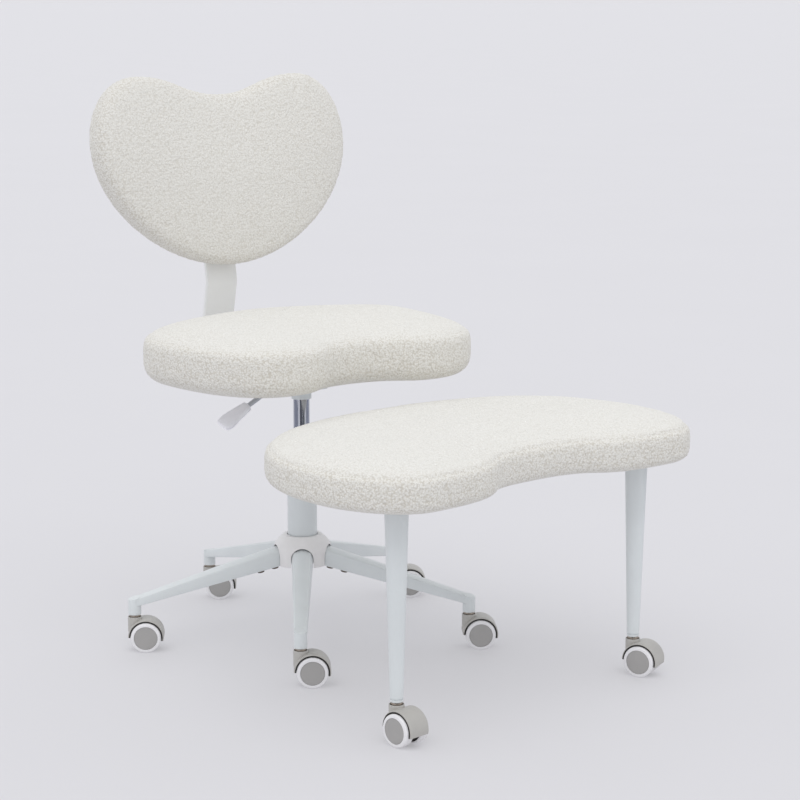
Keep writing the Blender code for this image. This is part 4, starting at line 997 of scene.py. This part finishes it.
def bent_bar(corners, width, edge):
    """A flat bar along (out, up) corners, out along +Y, with round bends and eased edges."""
    bm = bmesh.new()
    geom = wire_of(bm, [(-width / 2, out, up) for out, up in corners])
    made = bmesh.ops.extrude_edge_only(bm, edges=only(BMEdge, geom))["geom"]
    bmesh.ops.translate(bm, verts=only(BMVert, made), vec=(width, 0.0, 0.0))
    for fold in [e for e in bm.edges if len(e.link_faces) == 2]:
        bmesh.ops.bevel(bm, geom=[fold], offset=BAR_BEND * math.tan(fold.calc_face_angle() / 2),
                        offset_type="OFFSET", affect="EDGES", segments=10, profile=0.5, material=-1)
    bmesh.ops.recalc_face_normals(bm, faces=bm.faces)
    for vert in bm.verts:
        vert.normal_update()
    halves = [(vert, vert.normal * BAR_THICKNESS / 2) for vert in bm.verts]
    for vert, half in halves:
        vert.co += half
    bmesh.ops.solidify(bm, geom=list(bm.faces), thickness=BAR_THICKNESS)
    return softened(tidied(bm), edge, 3, 50.0)


def bar_bolts(metal, places):
    """Bolt heads at places, each a point and the direction that its head faces."""
    return joined(*(moved(bolt_head(metal.bolt_radius, BOLT_HEIGHT), facing(*place)) for place in places))


class CHAIR_OT_bars(bpy.types.Operator):
    """Bends the bar of the back and the footrest's swing arm, with their bolts"""

    bl_idname = "chair.bars"
    bl_label = "Bars"

    def execute(self, context):
        metal = context.scene.chair.metal
        paint = bpy.data.materials["powder_coat"]
        steel = bpy.data.materials["dark_bolt"]
        corners = [(BAR_START, BAR_LOW), (BAR_OUT, BAR_LOW), tuple(BAR_KNEE), tuple(BAR_TOP)]
        bar = bent_bar(corners, BAR_WIDTH, metal.edge)
        finished("back_upright", moved(bar, about_column()), powder_coat("bar_coat", metal.bar), "seat",
                 "painted_steel", "back_bar")
        lean = Vector((0.0, math.sin(BACK_LEAN), math.cos(BACK_LEAN)))
        rear = Vector((0.0, math.cos(BACK_LEAN), -math.sin(BACK_LEAN)))
        sides = (-BAR_BOLT_SIDE, BAR_BOLT_SIDE)
        places = [(BACK_FOOT + lean * up + Vector((side, 0.0, 0.0)) + rear * BAR_THICKNESS / 2, rear)
                  for up in BACK_BOLTS for side in sides]
        places += [(Vector((side, out, BAR_LOW - BAR_THICKNESS / 2)), DOWN)
                   for out in UNDER_SEAT_BOLTS for side in sides]
        finished("back_bolts", moved(bar_bolts(metal, places), about_column()), steel, "seat", "bright_steel")

        low, high = (corner.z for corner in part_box("swing_arm"))
        collar_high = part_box("column_tube")[1].z - 0.0033
        middle, flat = (low + collar_high) / 2, high - BAR_THICKNESS / 2
        corners = [(SWING_START, middle), (SWING_RISE_FROM, middle), (SWING_RISE_TO, flat), (SWING_END, flat)]
        arm = bent_bar(corners, SWING_WIDTH, metal.edge)
        collar = turned([(0.0256, low + 0.0008), (0.0262, low), (0.0304, low), (0.0316, low + 0.0012),
                         (0.0316, collar_high - 0.0012), (0.0304, collar_high), (0.0262, collar_high),
                         (0.0256, collar_high - 0.0008)], metal.sides, closed=True)
        moved(arm, Matrix.Rotation(math.pi, 4, "Z"))
        finished("swing_bar", moved(joined(arm, collar), about_column(FOOTREST_TURN)), paint, "footrest",
                 "painted_steel", "swing_arm")
        places = [(Vector((side, -reach, flat - BAR_THICKNESS / 2)), DOWN)
                  for reach in SWING_BOLTS for side in (-SWING_BOLT_SIDE, SWING_BOLT_SIDE)]
        finished("swing_bolts", moved(bar_bolts(metal, places), about_column(FOOTREST_TURN)), steel, "footrest",
                 "bright_steel")
        return {"FINISHED"}


def wheel(cap_radius, sides):
    """A wheel with its inner face on z = 0: a rounded tread with a recess for the cap and one for the near-black disc
    of painted shade.
    """
    radius, width = WHEEL_RADIUS, WHEEL_WIDTH
    profile = [(0.0, 0.0012), (0.0224, 0.0012), (0.0224, 0.0), (radius - 0.0018, 0.0), (radius - 0.0006, 0.0007),
               (radius, 0.0020), (radius, width - 0.0034), (radius - 0.0004, width - 0.0016),
               (radius - 0.0014, width - 0.0004), (radius - 0.0026, width), (cap_radius + 0.0006, width + 0.0004),
               (cap_radius + 0.0003, width), (cap_radius + 0.0003, width - 0.0022), (0.0, width - 0.0022)]
    return turned(profile, sides)


def wheel_cap(radius, sides):
    """The disc in a wheel's face, slightly domed."""
    face = WHEEL_WIDTH
    return turned([(0.0, face - 0.0021), (radius, face - 0.0021), (radius, face - 0.0007),
                   (radius - 0.0003, face - 0.0003), (radius - 0.0012, face - 0.0001), (0.6 * radius, face + 0.0003),
                   (0.25 * radius, face + 0.0005), (0.0, face + 0.0005)], sides)


def swept_round(section, span):
    """A closed section of (radius, height) points swept part of a turn, from -X over +Y, with closed ends."""
    bm = bmesh.new()
    geom = wire_of(bm, [(-radius, 0.0, height) for radius, height in section], closed=True)
    bmesh.ops.contextual_create(bm, geom=only(BMEdge, geom))
    bmesh.ops.spin(bm, geom=list(bm.faces), axis=UP, cent=(0.0, 0.0, 0.0), angle=-math.radians(span),
                   steps=SMALL_SIDES)
    return tidied(bm)


def caster_hood(edge):
    """The fender over both wheels with the web between them, the axle's boss and the stem's cup."""
    inner, outer, side, web = 0.0268, 0.0295, 0.0190, 0.0075
    section = [(0.0, -web), (inner, -web), (inner, -side), (outer - 0.0012, -side), (outer, -side + 0.0014),
               (outer, side - 0.0014), (outer - 0.0012, side), (inner, side), (inner, web), (0.0, web)]
    roof = moved(softened(swept_round(section, FENDER_SPAN), edge, 2, 40.0), TO_AXLE)
    boss = softened(turned([(0.0, -web), (0.0105, -web), (0.0105, web), (0.0, web)], SMALL_SIDES), edge)
    moved(boss, TO_AXLE)
    cup = turned([(0.0, 0.032), (0.0117, 0.032), (0.0117, BOSS_TOP - 0.0009), (0.0114, BOSS_TOP - 0.0003),
                  (0.0109, BOSS_TOP), (0.0105, BOSS_TOP - 0.0001), (0.0102, BOSS_TOP - 0.0005),
                  (0.0102, BOSS_TOP - 0.0030), (0.0056, BOSS_TOP - 0.0030), (0.0056, BOSS_TOP - 0.012),
                  (0.0, BOSS_TOP - 0.012)], CUP_SIDES)
    wells = []
    for way in (-1.0, 1.0):
        low, high = sorted((way * web, way * 0.024))
        wells.append(moved(turned([(0.0, low), (inner, low), (inner, high), (0.0, high)], CUP_SIDES), TO_AXLE))
    return joined(roof, boss, cut(cup, wells))


def fender_painted_shade():
    """Near-black strips inside the fender round each wheel: painted shade in the gap between wheel and hood."""
    strips = []
    half_degree = Matrix.Rotation(math.radians(-0.5), 4, "Z")
    for way in (-1.0, 1.0):
        section = [(radius, way * height) for radius, height in (
            (0.0256, WHEEL_START), (0.0267, WHEEL_START), (0.0267, 0.0191), (0.0278, 0.0191), (0.0278, 0.0194),
            (0.0256, 0.0194))]
        strips.append(moved(swept_round(section, FENDER_SPAN - 1.0), TO_AXLE @ half_degree))
    return joined(*strips)


class CHAIR_OT_casters(bpy.types.Operator):
    """Builds the seven twin-wheel casters"""

    bl_idname = "chair.casters"
    bl_label = "Casters"

    def execute(self, context):
        metal, plastic = context.scene.chair.metal, context.scene.chair.plastic
        hood_colour = moulded("hood_moulding", plastic.hood, 0.42)
        cap_colour = moulded("cap_moulding", plastic.cap, 0.40, 700.0)
        tyre_colour = moulded("tyre_moulding", plastic.tyre, 0.42, 500.0, 0.0002)
        steel = plated("stem_steel", metal.steel, 0.28)
        hood = caster_hood(plastic.edge)
        tyre = wheel(plastic.cap_radius, metal.sides)
        cap = wheel_cap(plastic.cap_radius, metal.sides)
        # Painted shade: near-black strips inside each fender and discs in each wheel's inner recess stand in for the
        # shade in the gaps
        painted_shade_colour = moulded("painted_shade_moulding", plastic.painted_shade, 0.6)
        painted_shade_strips = fender_painted_shade()
        # Painted shade: a near-black disc in each wheel's inner recess, where the inner face of the wheel is in shade
        painted_shade_disc = turned([(0.0, 0.0003), (0.0222, 0.0003), (0.0222, 0.0011), (0.0, 0.0011)], SMALL_SIDES)
        stem_low, stem_high = (corner.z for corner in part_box("caster_1_stem"))
        collar_low, collar_high = BOSS_TOP - 0.0026, SOCKET_BOTTOM - 0.0002
        stem = turned([(0.0, stem_low), (0.005, stem_low), (0.005, collar_low), (0.0088, collar_low),
                       (0.0088, collar_high), (0.005, collar_high), (0.005, stem_high), (0.0, stem_high)], SMALL_SIDES)
        softened(stem, 0.0005)
        for number in CASTERS:
            name = f"caster_{number}"
            carrier = "base" if number in BASE_CASTERS else "footrest"
            across = Vector(JOINTS[f"{name}_roll"]["axis"])
            spot = Matrix.Translation(swivel_point(number)) @ Matrix.Rotation(math.atan2(-across.x, across.y), 4, "Z")
            finished(f"{name}_fender", copied(hood, spot), hood_colour, f"{name}_hood", "hood_plastic", f"{name}_hood")
            finished(f"{name}_lining", copied(painted_shade_strips, spot), painted_shade_colour, f"{name}_hood", "hood_plastic")
            finished(f"{name}_pin", copied(stem, spot), steel, carrier, "bright_steel", f"{name}_stem")
            for side, way in (("left", 1.0), ("right", -1.0)):
                hub = spot @ Matrix.Translation((CASTER_TRAIL, way * WHEEL_START, WHEEL_RADIUS))
                hub = hub @ Matrix.Rotation(-way * math.pi / 2, 4, "X")
                wheels = f"{name}_wheels"
                finished(f"{name}_tyre_{side}", copied(tyre, hub), tyre_colour, wheels, "tyre_plastic",
                         f"{name}_wheel_{side}")
                finished(f"{name}_cap_{side}", copied(cap, hub), cap_colour, wheels, "hood_plastic")
                finished(f"{name}_core_{side}", copied(painted_shade_disc, hub), painted_shade_colour, wheels, "hood_plastic")
        for bm in (hood, painted_shade_strips, tyre, cap, painted_shade_disc, stem):
            bm.free()
        return {"FINISHED"}


def swept_rod(points):
    """The lever's round rod along points, with closed ends."""
    bm = bmesh.new()
    bmesh.ops.create_circle(bm, cap_ends=True, segments=ROD_SIDES, radius=ROD_RADIUS)
    steps = [b - a for a, b in zip(points, points[1:])]
    ways = [steps[0], *(a.normalized() + b.normalized() for a, b in zip(steps, steps[1:])), steps[-1]]
    return pulled_through(bm, [facing(point, way) for point, way in zip(points, ways)])


def paddle(stations, wide, thick, out):
    """The lever's handle through stations, each a point, a width and a thickness."""
    turn = Matrix((wide, thick, out)).transposed().to_4x4()
    spots = [Matrix.Translation(point) @ turn @ Matrix.Diagonal((width / 2, depth / 2, 1.0, 1.0))
             for point, width, depth in stations]
    bm = bmesh.new()
    bmesh.ops.create_circle(bm, cap_ends=True, segments=HANDLE_SIDES, radius=1.0)
    for vert in bm.verts:
        vert.co /= max(abs(vert.co.x), abs(vert.co.y)) ** HANDLE_SQUARENESS
    return softened(pulled_through(bm, spots), 0.0012, 3, 40.0)


def eased_copy(node, edge):
    """A copy of a CAD node with its triangles merged into faces and its sharp edges rounded."""
    bm = bmesh.new()
    bm.from_mesh(NODES[node].data)
    bmesh.ops.remove_doubles(bm, verts=bm.verts, dist=1e-6)
    bmesh.ops.dissolve_limit(bm, angle_limit=math.radians(1.0), verts=bm.verts, edges=bm.edges)
    return softened(bm, edge)


class CHAIR_OT_lever(bpy.types.Operator):
    """Bends the height lever's rod and shapes its paddle"""

    bl_idname = "chair.lever"
    bl_label = "Height lever"

    def execute(self, context):
        metal, plastic = context.scene.chair.metal, context.scene.chair.plastic
        pivot = Vector(JOINTS["lever"]["pos_m"])
        out = Vector((-math.cos(LEVER_DROOP), 0.0, -math.sin(LEVER_DROOP)))
        across = Vector((0.0, 1.0, 0.0))
        up = across.cross(out)
        bend = pivot + Vector((-LEVER_BEND, 0.0, 0.0))
        before, after = bend + Vector((LEVER_EASE, 0.0, 0.0)), bend + out * LEVER_EASE
        curve = [before.lerp(bend, t).lerp(bend.lerp(after, t), t) for t in (0.0, 0.25, 0.5, 0.75, 1.0)]
        rod = swept_rod([pivot + Vector((LEVER_INSIDE, 0.0, 0.0)), *curve, bend + out * LEVER_LENGTH])
        pin = turned([(0.0, -PIN_HALF), (PIN_RADIUS, -PIN_HALF), (PIN_RADIUS, PIN_HALF), (0.0, PIN_HALF)], ROD_SIDES)
        moved(pin, Matrix.Translation(pivot) @ Matrix.Rotation(math.pi / 2, 4, "X"))
        steel = plated("lever_steel", metal.chrome, 0.3)
        finished("lever_bar", softened(joined(rod, pin), 0.0005), steel, "lever", "bright_steel", "lever_rod")
        wide = across * math.cos(HANDLE_ROLL) + up * math.sin(HANDLE_ROLL)
        thick = up * math.cos(HANDLE_ROLL) - across * math.sin(HANDLE_ROLL)
        shells = []
        for shape, drop in ((HANDLE_SHAPE, 0.0), (LIP_SHAPE, LIP_DROP)):
            stations = [(bend + out * (HANDLE_FROM + share * HANDLE_LENGTH) - thick * drop, width, depth)
                        for share, width, depth in shape]
            shells.append(paddle(stations, wide, thick, out))
        colour = moulded("lever_moulding", plastic.lever, 0.4)
        finished("lever_handle", joined(*shells), colour, "lever", "lever_plastic", "lever_paddle")
        return {"FINISHED"}


class CHAIR_OT_seat_hardware(bpy.types.Operator):
    """Finishes the seat mechanism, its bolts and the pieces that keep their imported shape"""

    bl_idname = "chair.seat_hardware"
    bl_label = "Seat hardware"

    def execute(self, context):
        metal, fabric = context.scene.chair.metal, context.scene.chair.fabric
        paint = bpy.data.materials["powder_coat"]
        finished("seat_bracket", eased_copy("seat_mechanism", 0.0009), paint, "seat", "painted_steel", "seat_mechanism")
        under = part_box("seat_mechanism")[1].z - PLATE_THICKNESS
        places = [(Vector((x, y, under)), DOWN) for x in (-PLATE_BOLT_SIDE, PLATE_BOLT_SIDE) for y in PLATE_BOLTS]
        finished("seat_bolts", moved(bar_bolts(metal, places), about_column()), bpy.data.materials["dark_bolt"], "seat",
                 "bright_steel")
        steel = bpy.data.materials["lever_steel"]
        boards = backing_cloth(fabric)
        finishes = {"piston_rod": steel, "release_button": steel}
        finishes.update((board, boards) for board in ("seat_board", "back_board", "footrest_board"))
        finishes.update((f"caster_{number}_axle", steel) for number in CASTERS)
        for node, material in finishes.items():
            NODES[node].data.materials.clear()
            NODES[node].data.materials.append(material)
        return {"FINISHED"}


class CHAIR_OT_stage(bpy.types.Operator):
    """Lays the floor and sets up the light and the camera"""

    bl_idname = "chair.stage"
    bl_label = "Studio"

    def execute(self, context):
        scene = context.scene
        stage = scene.chair.stage
        bm = bmesh.new()
        bmesh.ops.create_grid(bm, x_segments=2, y_segments=2, size=FLOOR_REACH)
        mesh = mesh_of(bm, "studio_floor")
        mesh.materials.append(studio_floor(stage))
        floor = linked("studio_floor", mesh)
        self.cards(stage)

        lens = bpy.data.cameras.new("photo_camera")
        lens.lens = stage.lens
        lens.sensor_width = SENSOR_WIDTH
        camera = linked("photo_camera", lens)
        camera.location = stage.eye
        camera.rotation_euler = (math.pi / 2 - stage.pitch, 0.0, -stage.heading)
        scene.camera = camera

        key = bpy.data.lights.new("key_light", "SUN")
        key.energy = stage.key
        key.angle = KEY_SPREAD
        key.color = KEY_COLOUR
        lamp = linked("key_light", key)
        lamp.rotation_euler = KEY_FROM.to_track_quat("Z", "Y").to_euler()

        self.room(scene, stage)
        scene.view_settings.view_transform = "Standard"
        return {"FINISHED"}

    def cards(self, stage):
        """Dark curved cards round the chair, which show only in polished metal."""
        eye = Vector(stage.eye) - COLUMN
        eye_turn = math.atan2(eye.y, eye.x)
        for name, bearing, span, shade in CARDS:
            bm = bmesh.new()
            edge = wire_of(bm, [(CARD_RADIUS, 0.0, CARD_LOW), (CARD_RADIUS, 0.0, CARD_HIGH)])
            bmesh.ops.spin(bm, geom=edge, axis=UP, cent=(0.0, 0.0, 0.0), angle=math.radians(span), steps=24)
            moved(bm, about_column(eye_turn + math.radians(bearing)))
            mesh = mesh_of(bm, f"card_{name}")
            material, tree, shader = new_finish(f"card_{name}")
            dress(tree, shader, {}, Base_Color=(shade, 1.04 * shade, 1.22 * shade, 1.0), Roughness=0.9)
            mesh.materials.append(material)
            card = linked(f"card_{name}", mesh)
            card.visible_camera = card.visible_diffuse = card.visible_shadow = card.visible_transmission = False

    def room(self, scene, stage):
        """Even light from all round. The far room looks like the far floor, so that no horizon shows."""
        world = bpy.data.worlds.new("studio_room")
        scene.world = world
        world.use_nodes = True
        tree = world.node_tree
        seen = Wire.node(tree, "ShaderNodeLightPath", output=0)
        colour = blend(tree, seen, ROOM_COLOUR, opaque(stage.floor, stage.far))
        tree.links.new(colour.socket, tree.nodes["Background"].inputs["Color"])
        tree.nodes["Background"].inputs["Strength"].default_value = stage.fill


class CHAIR_PT_panel(bpy.types.Panel):
    """Lists the chair's pieces and settings"""

    bl_idname = "CHAIR_PT_panel"
    bl_label = "Chair"
    bl_space_type = "VIEW_3D"
    bl_region_type = "UI"
    bl_category = "Chair"

    def draw(self, context):
        for operator in OPERATORS:
            self.layout.operator(operator.bl_idname)
        chair = context.scene.chair
        for group in (chair.fabric, chair.metal, chair.plastic, chair.stage):
            box = self.layout.box()
            for name in group.bl_rna.properties.keys():
                if name not in ("rna_type", "name"):
                    box.prop(group, name)


SETTINGS = (FabricSettings, MetalSettings, PlasticSettings, StageSettings, ChairSettings)
OPERATORS = (CHAIR_OT_stage, CHAIR_OT_base, CHAIR_OT_column, CHAIR_OT_legs, CHAIR_OT_bars, CHAIR_OT_casters,
             CHAIR_OT_lever, CHAIR_OT_seat_hardware, CHAIR_OT_cushions)


def register():
    """Registers the settings, the operators and the panel."""
    for cls in (*SETTINGS, *OPERATORS, CHAIR_PT_panel):
        bpy.utils.register_class(cls)
    bpy.types.Scene.chair = PointerProperty(type=ChairSettings)


def unregister():
    """Takes back what register did."""
    del bpy.types.Scene.chair
    for cls in reversed((*SETTINGS, *OPERATORS, CHAIR_PT_panel)):
        bpy.utils.unregister_class(cls)


def main():
    """Builds the chair."""
    register()
    bpy.ops.chair.stage()
    bpy.ops.chair.base()
    bpy.ops.chair.column()
    bpy.ops.chair.legs()
    bpy.ops.chair.bars()
    bpy.ops.chair.casters()
    bpy.ops.chair.lever()
    bpy.ops.chair.seat_hardware()
    bpy.ops.chair.cushions()


if __name__ == "__main__":
    main()
